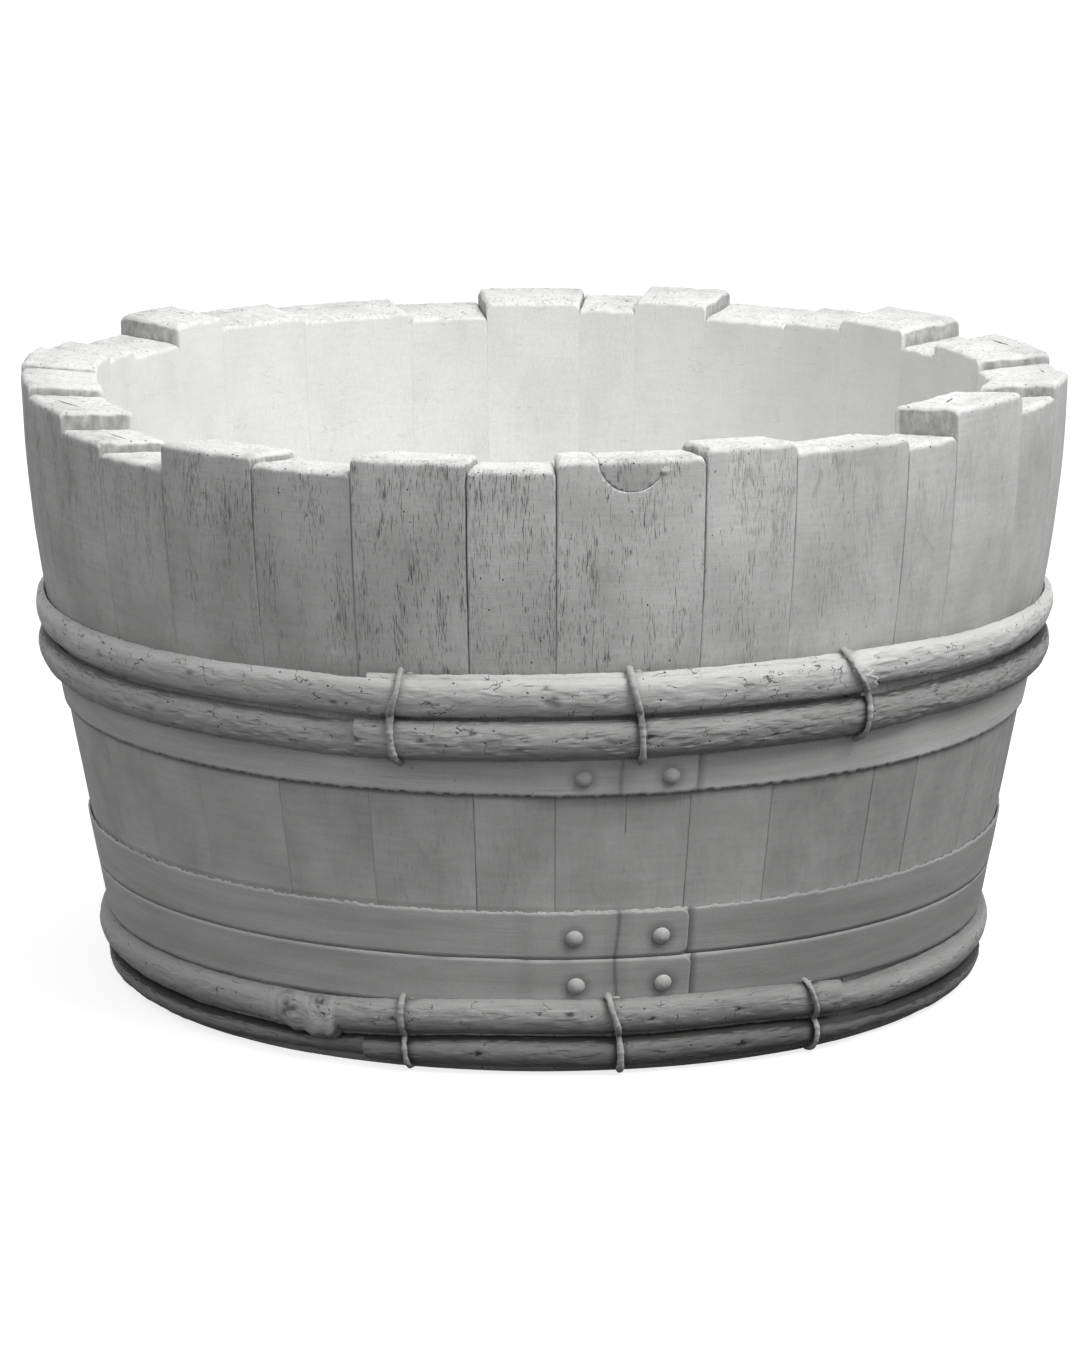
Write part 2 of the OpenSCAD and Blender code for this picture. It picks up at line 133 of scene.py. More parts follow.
def end_tree(tree, geometry, material):
    """Smooths, realises and paints the tree's result."""
    add = partial(put, tree)
    geometry = add("GeometryNodeSetShadeSmooth", {"Geometry": geometry, "Shade Smooth": True})
    geometry = add("GeometryNodeRealizeInstances", (geometry,))
    geometry = add("GeometryNodeSetMaterial", {"Geometry": geometry, "Material": material})
    tree.links.new(geometry, tree.nodes.new("NodeGroupOutput").inputs[0])
    return tree


def place_new(name, data):
    """A new object at the origin of the scene."""
    made = bpy.data.objects.new(name, data)
    bpy.context.scene.collection.objects.link(made)
    return made


def baked(piece):
    """The mesh of a piece with its modifiers applied."""
    graph = bpy.context.evaluated_depsgraph_get()
    return bpy.data.meshes.new_from_object(
        piece.evaluated_get(graph), preserve_all_data_layers=True, depsgraph=graph
    )


def grow(name, tree, values, mesh=None):
    """Runs a tree once and returns its result as a plain mesh object."""
    piece = place_new(name, mesh or bpy.data.meshes.new(name))
    modifier = piece.modifiers.new("shape", "NODES")
    modifier.node_group = tree
    for item in tree.interface.items_tree:
        if item.in_out == "INPUT" and item.name in values:
            modifier[item.identifier] = values[item.name]
    made = baked(piece)
    piece.modifiers.remove(modifier)
    piece.data = made
    made.name = name
    return piece


def points_of(piece):
    """The piece's points and normals as arrays."""
    count = len(piece.data.vertices)
    points = np.empty(count * 3, np.float32)
    normals = np.empty(count * 3, np.float32)
    piece.data.vertices.foreach_get("co", points)
    piece.data.vertex_normals.foreach_get("vector", normals)
    return points.reshape(-1, 3), normals.reshape(-1, 3)


def move_points(piece, points):
    """Puts the piece's points in new places."""
    piece.data.vertices.foreach_set("co", points.ravel())
    piece.data.update()


def note(piece, **fields):
    """Writes a number or a vector to each point of a piece, for its material to read."""
    for name, values in fields.items():
        kind, slot = ("FLOAT_VECTOR", "vector") if values.ndim == 2 else ("FLOAT", "value")
        field = piece.data.attributes.new(name, kind, "POINT")
        field.data.foreach_set(slot, values.astype(np.float32).ravel())


def ramp(values, low, high):
    """0 below low, 1 above high and a straight line between; falls where low is above high."""
    return np.clip((values - low) / (high - low), 0, 1)


def seat(piece, slot, *nodes):
    """The piece hangs under the root body and stands for its nodes, which are hidden."""
    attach(piece, "root")
    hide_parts(*nodes)


# ---- Colours and materials
def srgb(code):
    """A hex colour as linear RGBA."""
    parts = [int(code[i : i + 2], 16) / 255 for i in (1, 3, 5)]
    return [c / 12.92 if c <= 0.04045 else ((c + 0.055) / 1.055) ** 2.4 for c in parts] + [1.0]


def matte(name, roughness, specular=0.25):
    """A new matte material: itself, its tree and its shader node."""
    material = bpy.data.materials.new(name)
    material.use_nodes = True
    shader = material.node_tree.nodes["Principled BSDF"]
    shader.inputs["Roughness"].default_value = roughness
    shader.inputs["Specular IOR Level"].default_value = specular
    return material, material.node_tree, shader


def dress(material, ground, coats, reliefs, depth):
    """Gives a material its colour and relief.

    Each coat over the ground colour is how much it covers and its own colour. Each relief is a
    pattern and how far it stands up, as a share of the depth.
    """
    tree = material.node_tree
    shader = tree.nodes["Principled BSDF"]
    colour, height = srgb(ground), 0.0
    for share, tint in coats:
        colour = put(tree, MIX, {0: share, 6: colour, 7: srgb(tint)}, out=2, data_type="RGBA")
    for pattern, share in reliefs:
        height = put(tree, "MULTIPLY_ADD", (pattern, share, height))
    bump = put(tree, "ShaderNodeBump", {"Height": height, "Strength": 0.6, "Distance": depth})
    tree.links.new(colour, shader.inputs["Base Color"])
    tree.links.new(bump, shader.inputs["Normal"])
    return material


# Wash lies thickest inside the tub and on its rim
THICK_WASH = "#EDEDEC"
# Heights of lines of painted shadow and dirt on the staves along the bands' edges, and how dark
BAND_DIRT_AND_SHADOW = [(216 * MM, 0.55), (128 * MM, 0.35)]
# What the points of a shaped board say: their place in the wood, marks, dirt and painted shade,
# wash, distance from a crack, and place beside and along a check and under the top
BOARD_FIELDS = {"grain": "Vector", "marks": "Fac", "dirt": "Fac", "wash": "Fac",
                "off_crack": "Fac", "check": "Vector"}


def board_marks(add, stretch, fields, ring, patch, grit):
    """Dark marks of a board: soil and painted shade, a crack, checks, growth rings, pits,
    scratches.
    """
    soiled = add(NOISE, {"Vector": stretch(7, 12), "Detail": 5.0, "Roughness": 0.6})
    aside, along, under_top = add("ShaderNodeSeparateXYZ", (fields["check"],)).node.outputs
    # Soil and painted shade lie in clouds, most of all near the top
    patchy = add(RANGE, (under_top, 20 * MM, 70 * MM, 0.6, 0.12))
    clouds = add("MULTIPLY_ADD", (add(RANGE, (soiled, 0.32, 0.64, -1.0, 0.6)), patchy, 1.0))
    soil_and_shade = add("MULTIPLY", (fields["dirt"], clouds))
    # A drying crack, faint here and there
    crack = add("ABSOLUTE", (fields["off_crack"],))
    crack = add(RANGE, (crack, 0.25 * MM, 0.75 * MM, 0.75, 0.0))
    crack = add("MULTIPLY", (crack, add(RANGE, (patch, 0.42, 0.56, 0.25, 1.0))))
    # Fine checks and the growth rings, in the sawn top
    facing = add("ShaderNodeSeparateXYZ", (add("ShaderNodeNewGeometry", out="Normal"),), out="Z")
    upwards = add(RANGE, (facing, 0.75, 0.92))
    split = add(VECTOR, (fields["grain"], (60, 28, 0)), operation="MULTIPLY")
    split = add("SUBTRACT", (add(NOISE, {"Vector": split}), 0.5))
    split = add(RANGE, (add("ABSOLUTE", (split,)), 0.003, 0.009, 0.6, 0.0))
    split = add("MULTIPLY", (split, upwards, add(RANGE, (patch, 0.5, 0.6))))
    rings = add("MULTIPLY", (add(RANGE, (ring, 0.2, 0.9, 0.0, 0.2)), facing))
    # One long check in some tops, which gapes in its middle
    aside = add("ADD", (add("MULTIPLY", (grit, 1.2 * MM)), add("ABSOLUTE", (aside,))))
    along = add("ABSOLUTE", (add("SUBTRACT", (along, 0.5)),))
    gape = add(RANGE, (along, 0.1, 0.55, 2.0 * MM, 0.3 * MM))
    gape = add(RANGE, (add("SUBTRACT", (gape, aside)), 0.0, 0.4 * MM, 0.0, 0.85))
    gape = add("MULTIPLY", (gape, upwards))
    # Pits along the worn edges of the top
    pits = add(CELLS, {"Vector": stretch(4.5, 4.5)}, out="Distance")
    pits = add("MULTIPLY", (add(RANGE, (pits, 0.14, 0.22, 0.95, 0.0)),
                            add(RANGE, (soiled, 0.5, 0.56)),
                            add(RANGE, (under_top, 4 * MM, 9 * MM, 1.0, 0.0))))
    # Thin scratches in the thick wash
    scratch = add("SUBTRACT", (add(NOISE, {"Vector": stretch(90, 12), "Detail": 1.5}), 0.5))
    scratch = add(RANGE, (add("ABSOLUTE", (scratch,)), 0.002, 0.008, 0.16, 0.0))
    scratch = add("MULTIPLY", (scratch, add(RANGE, (soiled, 0.5, 0.6)), fields["wash"]))
    return soil_and_shade, crack, split, rings, gape, pits, scratch


def band_dirt_and_shadow_line(add, fields, line, share):
    """Painted shadow and dirt in a line on the staves at a height, along an iron band's edge."""
    off = add("ShaderNodeSeparateXYZ", (fields["grain"],), out="Z")
    off = add("ABSOLUTE", (add("SUBTRACT", (off, line)),))
    off = add(RANGE, (off, 0.8 * MM, 4 * MM, share, 0.0))
    return add("MULTIPLY", (off, add("SUBTRACT", (1.0, fields["wash"]))))


def weathered_oak(name, along, wash, shade, dark, shaped=True, band_dirt_and_shadow=()):
    """Weathered, limewashed oak: matte, open-pored and pitted, with faint marks of the saw.

    along is the axis that the fibres follow. The points of a shaped piece say themselves where
    in their board they lie. Each band line, a height and a share, paints shadow and dirt there.
    """
    material, tree, _ = matte(name, 0.88, 0.2)
    add = partial(put, tree)
    if shaped:
        fields = {field: add("ShaderNodeAttribute", out=out, attribute_name=field)
                  for field, out in BOARD_FIELDS.items()}
        place, many, thick = fields["grain"], fields["marks"], fields["wash"]
    else:
        place, many, thick = add("ShaderNodeTexCoord", out="Object"), 1.0, 0.0

    def stretch(across, length):
        """The place in the wood, for features that are so many millimetres wide and long."""
        scale = [1 / (across * MM)] * 3
        scale[along] = 1 / (length * MM)
        return add(VECTOR, (place, scale), operation="MULTIPLY")

    cloud, dash, patch, sawn, grit, stain, brushed = [
        add(NOISE, {"Vector": stretch(across, length), "Detail": detail})
        for across, length, detail in (
            (38, 130, 2.0),  # clouds, whose contours are the growth rings
            (0.5, 9, 1.0),  # open pores, drawn twice as wide as real ones so that they show
            (15, 60, 3.0),  # patches with many pores and with few
            (15, 0.5, 1.0),  # marks of the saw
            (0.9, 1.4, 2.0),  # grit of the wash
            (60, 75, 4.0),  # slow stains
            (30, 3.5, 3.0),  # strokes of the brush
        )
    ]
    # The contours are about 3 mm apart. They show as thin dark lines where pores are many
    ring = add("SINE", (add("MULTIPLY", (cloud, 95.0)),))
    figure = add("MULTIPLY", (add(RANGE, (ring, 0.35, 1.0)),
                              add(RANGE, (patch, 0.5, 0.66, 0.03, 0.2)), many))
    rare = add("MULTIPLY_ADD", (ring, -0.012, add(RANGE, (patch, 0.40, 0.66, 0.69, 0.55))))
    pore = add(RANGE, (dash, rare, add("ADD", (rare, 0.04)), 0.0, 0.75), **SMOOTH)
    sawn = add(RANGE, (sawn, 0.58, 0.68, 0.0, 0.17), **SMOOTH)
    # Pits, a few to a hand's breadth
    pit = add(CELLS, {"Vector": stretch(14, 19)}, out="Distance")
    pit = add(RANGE, (pit, 0.035, 0.06, 0.9, 0.0), **SMOOTH)
    marks = add("MULTIPLY", (add("MAXIMUM", (sawn, pore, pit)), many))
    if shaped:
        marks = add("MAXIMUM", (
            marks, *board_marks(add, stretch, fields, ring, patch, grit),
            *[band_dirt_and_shadow_line(add, fields, line, share) for line, share in band_dirt_and_shadow]))

    covered = add("MULTIPLY", (thick, 0.85, add(RANGE, (stain, 0.3, 0.6, 0.75, 1.0))))
    brushed = add("MULTIPLY", (add(RANGE, (brushed, 0.4, 0.7, 0.0, 0.08)),
                               add("MULTIPLY_ADD", (thick, -0.6, 1.0))))
    coats = ((add(RANGE, (stain, 0.33, 0.67)), wash), (figure, dark), (covered, THICK_WASH),
             (add(RANGE, (grit, 0.3, 0.7, 0.0, 0.12)), dark), (brushed, dark), (marks, dark))
    return dress(material, shade, coats, ((ring, 0.1), (grit, 0.5), (marks, -1.0)), 0.5 * MM)


def washed_surface(name, wash, shade, dark, along, plate, roughness=0.86, worn=1.0, flaky=0.0):
    """A surface under a grey wash that is streaked round the tub: bark, iron or cord.

    along is the length of a streak and plate the size of a flake, both in millimetres. worn says
    how far cracks and pits show, and flaky how far flakes do.
    """
    material, tree, _ = matte(name, roughness)
    add = partial(put, tree)
    place = add("ShaderNodeTexCoord", out="Object")

    def stretch(length, height):
        """The place, for features that are so many millimetres long and high."""
        scale = (1 / (length * MM), 1 / (length * MM), 1 / (height * MM))
        return add(VECTOR, (place, scale), operation="MULTIPLY")

    cloud, lines, grit, flake, where = [
        add(NOISE, {"Vector": stretch(length, height), "Detail": detail, "Roughness": rough})
        for length, height, detail, rough in (
            (3 * along, 14, 4.0, 0.5),  # slow clouds
            (along, 1.6, 3.0, 0.5),  # lines round the tub
            (1.1, 0.9, 2.0, 0.5),  # grit of the wash
            (1.7 * plate, plate, 2.5, 0.6),  # outlines of flakes
            (1.3 * plate, plate, 2.0, 0.5),  # where they show
        )
    ]
    # Flakes: thin curved cracks along the contours of a slow noise, broken off where none show
    edge = add("ABSOLUTE", (add("SUBTRACT", (flake, 0.5)),))
    edge = add("MULTIPLY", (add(RANGE, (edge, 0.004, 0.013, 1.0, 0.0)),
                            add(RANGE, (where, 0.52, 0.58, 0.0, flaky))))
    hole = add(CELLS, {"Vector": stretch(13, 11)}, out="Distance")
    hole = add(RANGE, (hole, 0.05, 0.09, 0.9, 0.0), **SMOOTH)
    crack = add(RANGE, (lines, 0.66, 0.74, 0.0, 0.55), **SMOOTH)
    marks = add("MULTIPLY", (add("MAXIMUM", (hole, crack, edge)), worn))
    dirt = add("ShaderNodeAttribute", out="Fac", attribute_name="dirt")
    coats = ((add(RANGE, (cloud, 0.33, 0.67)), wash),
             (add(RANGE, (grit, 0.3, 0.7, 0.0, 0.15)), dark),
             (add(RANGE, (lines, 0.3, 0.7, 0.0, 0.12)), dark),
             (add("MAXIMUM", (marks, dirt)), dark))
    reliefs = ((lines, 0.25 * worn), (grit, 0.4), (marks, -1.0))
    return dress(material, shade, coats, reliefs, 0.7 * MM)


# Oak staves, cleft and shaved, limewashed and left outdoors. They give the eye vertical dark
# dashes of open pores in patches, faint growth rings, pits, and a dull grey skin that painted
# shade darkens low down
stave_oak = weathered_oak("limewashed_stave_oak", 2, "#EAEAE9", "#D0D0CF", "#424241",
                          band_dirt_and_shadow=BAND_DIRT_AND_SHADOW)
# The oak bung, turned and driven in: the same grain a shade darker, so that its outline shows
bung_oak = weathered_oak("limewashed_bung_oak", 2, "#D8D8D7", "#C4C4C3", "#424241")
# Oak bottom boards, sawn and planed: grain along the boards, thin wash, and soil in their joints
bottom_oak = weathered_oak("limewashed_bottom_oak", 0, "#DCDCDB", "#C8C8C7", "#4A4A49")
# Oak dowels, turned and hidden in the joints: the boards' grain, along the dowel
dowel_oak = weathered_oak("limewashed_dowel_oak", 1, "#DCDCDB", "#C8C8C7", "#4A4A49",
                          shaped=False)
# Split willow withies with their bark on, limewashed: smooth and pale along the rod, with thin
# curved cracks where the bark flakes, pits, and lines that run round the tub
withy_bark = washed_surface("limewashed_withy", "#EFEFEE", "#DEDEDD", "#3E3E3D", 30, 12, flaky=0.8)
# Hoop iron, rolled and hammered round the tub, washed over with the wood: nearly even and matt,
# with slow clouds, faint lines along the band and soil round its rivets
band_iron = washed_surface("limewashed_iron", "#F8F8F7", "#E0E0DF", "#464645", 45, 26, 0.8, 0.4)
# Iron rivets, their heads hammered round: the bands' wash, worn a shade darker, in finer clouds
rivet_iron = washed_surface("limewashed_rivet_iron", "#CECECD", "#BEBEBD", "#464645", 5, 6,
                            0.78, 0.4)
# Laid hemp cord, pulled tight and clogged with wash: lumpy and matt, with painted shade where it
# dips between the withies
hoop_cord = washed_surface("limewashed_cord", "#DADAD9", "#C4C4C3", "#3E3E3D", 4, 7, 0.9, 0.6)


# ---- Fields that staves and bands share
def unit_block(add, columns, layers, rows):
    """A block, and how far across it, into it and up it each point lies, from 0 to 1."""
    block = add("GeometryNodeMeshCube", {"Size": (1, 1, 1), "Vertices X": columns,
                                         "Vertices Y": layers, "Vertices Z": rows})
    axes = add("ShaderNodeSeparateXYZ", (add("GeometryNodeInputPosition"),)).node.outputs
    return block, *[add("ADD", (axis, 0.5)) for axis in axes]


def wall_field(add, z):
    """The outer radius of the staves as a field of the height."""
    bent = add("MAXIMUM", (add("SUBTRACT", (z, BEND_Z)), 0.0))
    bent = add("MULTIPLY_ADD", (add("MULTIPLY", (bent, bent)), -BEND, FOOT_R))
    return add("MULTIPLY_ADD", (z, SLOPE, bent))


def round_field(add, distance, radius):
    """How far a face falls back at a distance from its worn edge."""
    near = add(RANGE, (add("DIVIDE", (distance, radius)), 0.0, 1.0, 1.0, 0.0))
    return add("MULTIPLY", (add("POWER", (near, 2.2)), radius))


def bend_round(add, block, radius, azimuth, z):
    """Moves a block's points to a radius, an azimuth and a height."""
    x = add("MULTIPLY", (radius, add("SINE", (azimuth,))))
    y = add("MULTIPLY", (radius, add("COSINE", (azimuth,)), -1.0))
    place = add("ShaderNodeCombineXYZ", (x, y, z))
    return add("GeometryNodeSetPosition", {"Geometry": block, "Position": place})


# ---- Staves
# Least and most that an arris, a top's outer and inner edges and its corners are worn round
ARRIS = (0.3 * MM, 2.0 * MM)
BROW = (2.4 * MM, 5.2 * MM)
CORNER = (2.0 * MM, 5.0 * MM)
# Depth of the adze's hollows, of the fibres and of the saw's roughness on the top
HOLLOWS = 1.0 * MM
FIBRES = 0.3 * MM
SAWN = 1.1 * MM
# How far down a top's wear and its lift reach, and how wide a seam that stands open is
WORN_DOWN = 14 * MM
LIFTED_DOWN = 60 * MM
SEAM = 0.6 * MM
# Heights between which the staves' clean lower part passes into the weathered upper one, and
# between which the seams come to stand open
WEATHERED = (0.2, 0.3)
SEAMS_OPEN = (0.3, 0.42)
# Distance in the wood from one board to the next
NEXT_BOARD = 0.37

# How far the seam after each stave stands open, and how far one does that isn't named
OPEN_SEAMS = {30: 1.6, 31: 0.75, 1: 0.5, 2: 0.45, 3: 0.25, 4: 0.08, 5: 0.08, 6: 0.08, 29: 0.6,
              28: 0.55, 27: 0.55, 26: 0.15}
OTHER_SEAMS = 0.2
# A nub on the bung stave
NUB_AZ = math.radians(12.1)
NUB = (RIM_R * math.sin(NUB_AZ), -RIM_R * math.cos(NUB_AZ), 456.5 * MM)
NUB_R = 2.6 * MM
NUB_H = 2.4 * MM
# Drying cracks: how far from a stave's first edge, and how high they reach
CRACKS = {1: (52 * MM, 345 * MM), 3: (42 * MM, 600 * MM)}
# Tops that aren't level: how far they are lifted at a stave's first and second edge
LIFTS = {6: (0, -2 * MM), 7: (6 * MM, 0), 8: (1 * MM, -2 * MM), 9: (3 * MM, 2 * MM),
         23: (4 * MM, 5 * MM), 24: (6 * MM, 7 * MM), 25: (-2 * MM, -1 * MM)}
# The rear tops stand a little higher than their solids
LIFTS.update({number: (4 * MM, 4 * MM) for number in range(10, 23)})
# Long checks in the tops: their two ends, as shares across a stave and of its depth
CHECKS = {5: ((0.25, 0.5), (0.65, 0.72)), 8: ((0.1, 0.24), (0.75, 0.27)),
          9: ((0.4, 0.32), (0.85, 0.34)), 25: ((0.2, 0.27), (0.8, 0.47)),
          26: ((0.25, 0.52), (0.95, 0.5))}


def stave_tree():
    """A stave bent from a block: u runs across it, v from its outer to its inner face, w up it."""
    tree, add, given = shape_tree("stave", ("Start", "Sweep", "Top", "Lift start", "Lift stop",
                                            "Set back", "Open start", "Open stop", "Seed"))
    block, u, v, w = unit_block(add, 44, 12, 120)
    # Columns and layers crowd towards the arrises, and rows towards the top
    u, v = [
        add("MULTIPLY_ADD", (add("SINE", (add("MULTIPLY", (share, 2 * math.pi)),)),
                             -crowded / (2 * math.pi), share))
        for share, crowded in ((u, 0.7), (v, 0.6))
    ]
    w = add("MULTIPLY_ADD", (add("SUBTRACT", (w, add("MULTIPLY", (w, w)))), 0.7, w))
    z = add("MULTIPLY", (w, given["Top"]))
    wall = wall_field(add, z)
    width = add("MULTIPLY", (wall, given["Sweep"]))
    arc = add("MULTIPLY", (u, width))
    own = add("MULTIPLY", (given["Seed"], NEXT_BOARD))
    grain = add("ShaderNodeCombineXYZ", (add("ADD", (arc, own)), add("MULTIPLY", (v, WALL)), z))
    uneven, chips, slow, fibre, rough = [
        add(NOISE, {"Vector": add(VECTOR, (grain, to_a_metre), operation="MULTIPLY"),
                    "Detail": detail, "Roughness": roughness})
        for to_a_metre, detail, roughness in (
            ((45, 45, 30), 4.0, 0.6),
            ((60, 60, 0), 2.0, 0.5),
            ((16, 16, 9), 2.0, 0.5),
            ((190, 190, 16), 3.0, 0.5),
            ((55, 75, 0), 4.0, 0.6),
        )
    ]

    # Wear: the arrises and the top's edges are rounded and chipped, unevenly along their length
    side = add("MULTIPLY", (add("MINIMUM", (u, add("SUBTRACT", (1.0, u)))), width))
    seam = add(MIX, {0: u, 2: given["Open start"], 3: given["Open stop"]})
    seam = add("MULTIPLY", (seam, add(RANGE, (z, *SEAMS_OPEN, 0.2, 1.0))))
    seam = add("MINIMUM", (seam, 1.0))
    arris = add("MULTIPLY", (add(RANGE, (uneven, 0.3, 0.7, *ARRIS)), seam))
    arris_fall = round_field(add, side, add("ADD", (arris, 0.1 * MM)))
    under_top = add("SUBTRACT", (given["Top"], z))
    brow_fall = round_field(add, under_top, add(RANGE, (chips, 0.36, 0.68, *BROW)))
    near_top = add(RANGE, (under_top, 0.0, WORN_DOWN, 1.0, 0.0))
    corner_fall = round_field(add, side, add(RANGE, (uneven, 0.3, 0.7, *CORNER)))
    corner_fall = add("MULTIPLY", (corner_fall, near_top))

    # Relief: hollows of the adze, raised fibres, and faces that don't quite meet
    relief = add("ADD", (add(RANGE, (slow, 0.25, 0.75, -HOLLOWS, 0.0)),
                         add(RANGE, (fibre, 0.3, 0.7, -FIBRES, 0.0))))
    set_back = add("MULTIPLY", (given["Set back"], add(RANGE, (z, *WEATHERED, 0.3, 1.0))))
    relief = add("SUBTRACT", (relief, set_back))
    outer = add("SUBTRACT", (add("ADD", (wall, relief)), arris_fall, brow_fall))
    inner = add("ADD", (add("SUBTRACT", (wall, WALL)), brow_fall))
    radius = add(MIX, {0: v, 2: outer, 3: inner})

    # The joint stands open by a hair at the outer face and is closed at the inner one
    hair = add("MULTIPLY", (seam, SEAM, add("SUBTRACT", (1.0, v)), add("SUBTRACT", (0.5, u))))
    azimuth = add("MULTIPLY_ADD", (u, given["Sweep"], given["Start"]))
    azimuth = add("ADD", (azimuth, add("DIVIDE", (hair, wall))))

    # The sawn top falls inwards, is rough, and in places isn't level
    fall = add("MULTIPLY_ADD", (v, TOP_FALL, add(RANGE, (rough, 0.3, 0.7, 0.0, SAWN))))
    fall = add("ADD", (add("MULTIPLY", (fall, near_top)), corner_fall))
    lift = add(MIX, {0: u, 2: given["Lift start"], 3: given["Lift stop"]})
    lift = add("MULTIPLY", (lift, add(RANGE, (under_top, 0.0, LIFTED_DOWN, 1.0, 0.0))))
    height = add("ADD", (add("SUBTRACT", (z, fall)), lift))
    return end_tree(tree, bend_round(add, block, radius, azimuth, height), given["Material"])


def azimuths(node):
    """The azimuths between which a stave's node lies, in radians."""
    points = np.array([vertex.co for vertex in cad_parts[node].data.vertices])
    middle = math.atan2(points[:, 0].mean(), -points[:, 1].mean())
    off = np.arctan2(points[:, 0], -points[:, 1]) - middle
    off = (off + math.pi) % (2 * math.pi) - math.pi
    return middle + off.min(), middle + off.max()


def raise_nub(board):
    """Raises a small nub on the bung stave, right of the bung."""
    points, normals = points_of(board)
    off = np.hypot(points[:, 0] - NUB[0], points[:, 2] - NUB[2])
    off += FAR * (points[:, 1] > 0.93 * NUB[1])
    points += normals * (NUB_H * np.exp(-((off / NUB_R) ** 2)))[:, None]
    move_points(board, points)


def in_front(azimuth):
    """1 round the front, falling to 0 at the back, at azimuths in degrees."""
    return ramp(np.abs(azimuth), 180, 110)


def painted_lee_shade(azimuth):
    """How much shade is painted on the tub low down towards its sides, at azimuths in degrees."""
    return (0.31 * ramp(azimuth, -8, 34) + 0.05 * ramp(azimuth, -30, -60)) * in_front(azimuth)


def crack_line(arc, z, inside, seed, place, highest):
    """Distance from a drying crack that wanders up the outer face from a place on its edge."""
    wander = 1.6 * np.sin(z * 21 + seed) + 0.8 * np.sin(z * 67) + 0.4 * np.sin(z * 173)
    off = np.abs(arc - place - wander * MM + inside)
    return off + 2 * MM * ramp(z, highest - 15 * MM, highest)


def note_grain(board, start, stop, top, lifts, seed, opens, crack=None, check=None):
    """Writes each point's place in its board, how marked and washed it is, and its dirt and painted
    shade.
    """
    x, y, z = points_of(board)[0].T
    turn = np.arctan2(x, -y) - (start + stop) / 2
    turn = (turn + math.pi) % (2 * math.pi) - math.pi + (stop - start) / 2
    wall = wall_r(z)
    arc, depth, width = turn * wall, wall - np.hypot(x, y), (stop - start) * wall
    share = np.clip(arc / width, 0, 1)
    side = np.minimum(arc, width - arc)
    outside = ramp(depth, 0.5 * WALL, 0.15 * WALL)
    upper = ramp(z, *WEATHERED)
    under_top = top + lifts[0] + (lifts[1] - lifts[0]) * share - z
    top_face = ramp(under_top, 6 * MM, 2.5 * MM)
    turn += start
    azimuth = (np.degrees(turn) + 180) % 360 - 180
    front = in_front(azimuth)

    # Dirt in the seams, and a little more of it on some staves than on others
    open_seam = opens[0] + (opens[1] - opens[0]) * share
    open_seam = np.minimum(open_seam * (0.2 + 0.8 * ramp(z, *SEAMS_OPEN)), 1)
    shut = 0.04 + 0.08 * ramp(azimuth, -14, 2) * front
    dirt = ramp(side, 1.2 * MM, 0) * (shut + 0.6 * open_seam) * outside
    dirt = np.maximum(dirt, 0.08 * own_share(seed) * outside * (0.3 + 0.7 * upper))
    # Painted shade on the right side and low down, and blotches on the tops
    dirt += 0.055 * ramp(azimuth, 34, 52) * front * outside * upper
    blotch = 0.5 + 0.25 * np.sin(x * 190 + seed) + 0.25 * np.sin(y * 230 + x * 70 + 2 * seed)
    dirt = np.maximum(dirt, (0.04 + 0.15 * blotch**2) * top_face)
    # Painted shade on the lower wall, deeper just right of the front
    dirt += (0.075 + 0.045 * ramp(azimuth, 0, 12) * front) * (1 - upper) * outside
    dirt += painted_lee_shade(azimuth) * (1 - upper) * outside
    # The sides of a stave that stands above its neighbours hold no wash
    bare = ramp(side, 0.8 * MM, 0.1 * MM) * ramp(depth, 1 * MM, 4 * MM)
    bare *= ramp(depth, WALL - 1 * MM, WALL - 6 * MM) * ramp(z, 0.36, 0.4)
    dirt = np.maximum(dirt, 0.42 * bare)
    # Painted shade, with some dirt, along the upper edge of the upper withy, which isn't level
    hoop_top = (300.6 + 6 * np.cos(turn) + 3.5 * np.sin(2 * turn)) * MM
    dirt += 0.3 * ramp(np.abs(z - hoop_top), 16 * MM, 0) ** 1.5 * outside

    # Pores and pits are fewer inside, low down and in three calm stretches
    marks = (0.05 + 0.95 * outside) * (0.35 + 0.65 * upper)
    calm = 0.4 * ramp(azimuth, 10, 24) * front + 0.3 * ramp(np.abs(azimuth), 30, 48)
    calm += 0.35 * ramp(azimuth, -14, -26) * front * ramp(z, 0.41, 0.34)
    marks *= 1 - calm * outside
    wash = np.maximum(1 - outside, 0.55 * top_face) * (1 - bare)

    off_crack = np.ones_like(arc)
    if crack:
        off_crack = crack_line(arc, z, outside < 0.5, seed, *crack)
    aside, along = np.ones_like(arc), np.zeros_like(arc)
    if check:
        tip, end = [np.array([across * width.max(), deep * WALL]) for across, deep in check]
        length = np.linalg.norm(end - tip)
        way = (end - tip) / length
        aside = (arc - tip[0]) * way[1] - (depth - tip[1]) * way[0]
        along = ((arc - tip[0]) * way[0] + (depth - tip[1]) * way[1]) / length
    own = seed * NEXT_BOARD
    note(board, grain=np.stack([arc + own, depth + own, z], axis=1), dirt=dirt, marks=marks,
         wash=wash, off_crack=off_crack, check=np.stack([aside, along, under_top], axis=1))


def write_back(skin, mesh):
    """Writes a skin that was worked on back to its mesh."""
    skin.to_mesh(mesh)
    skin.free()
    return mesh


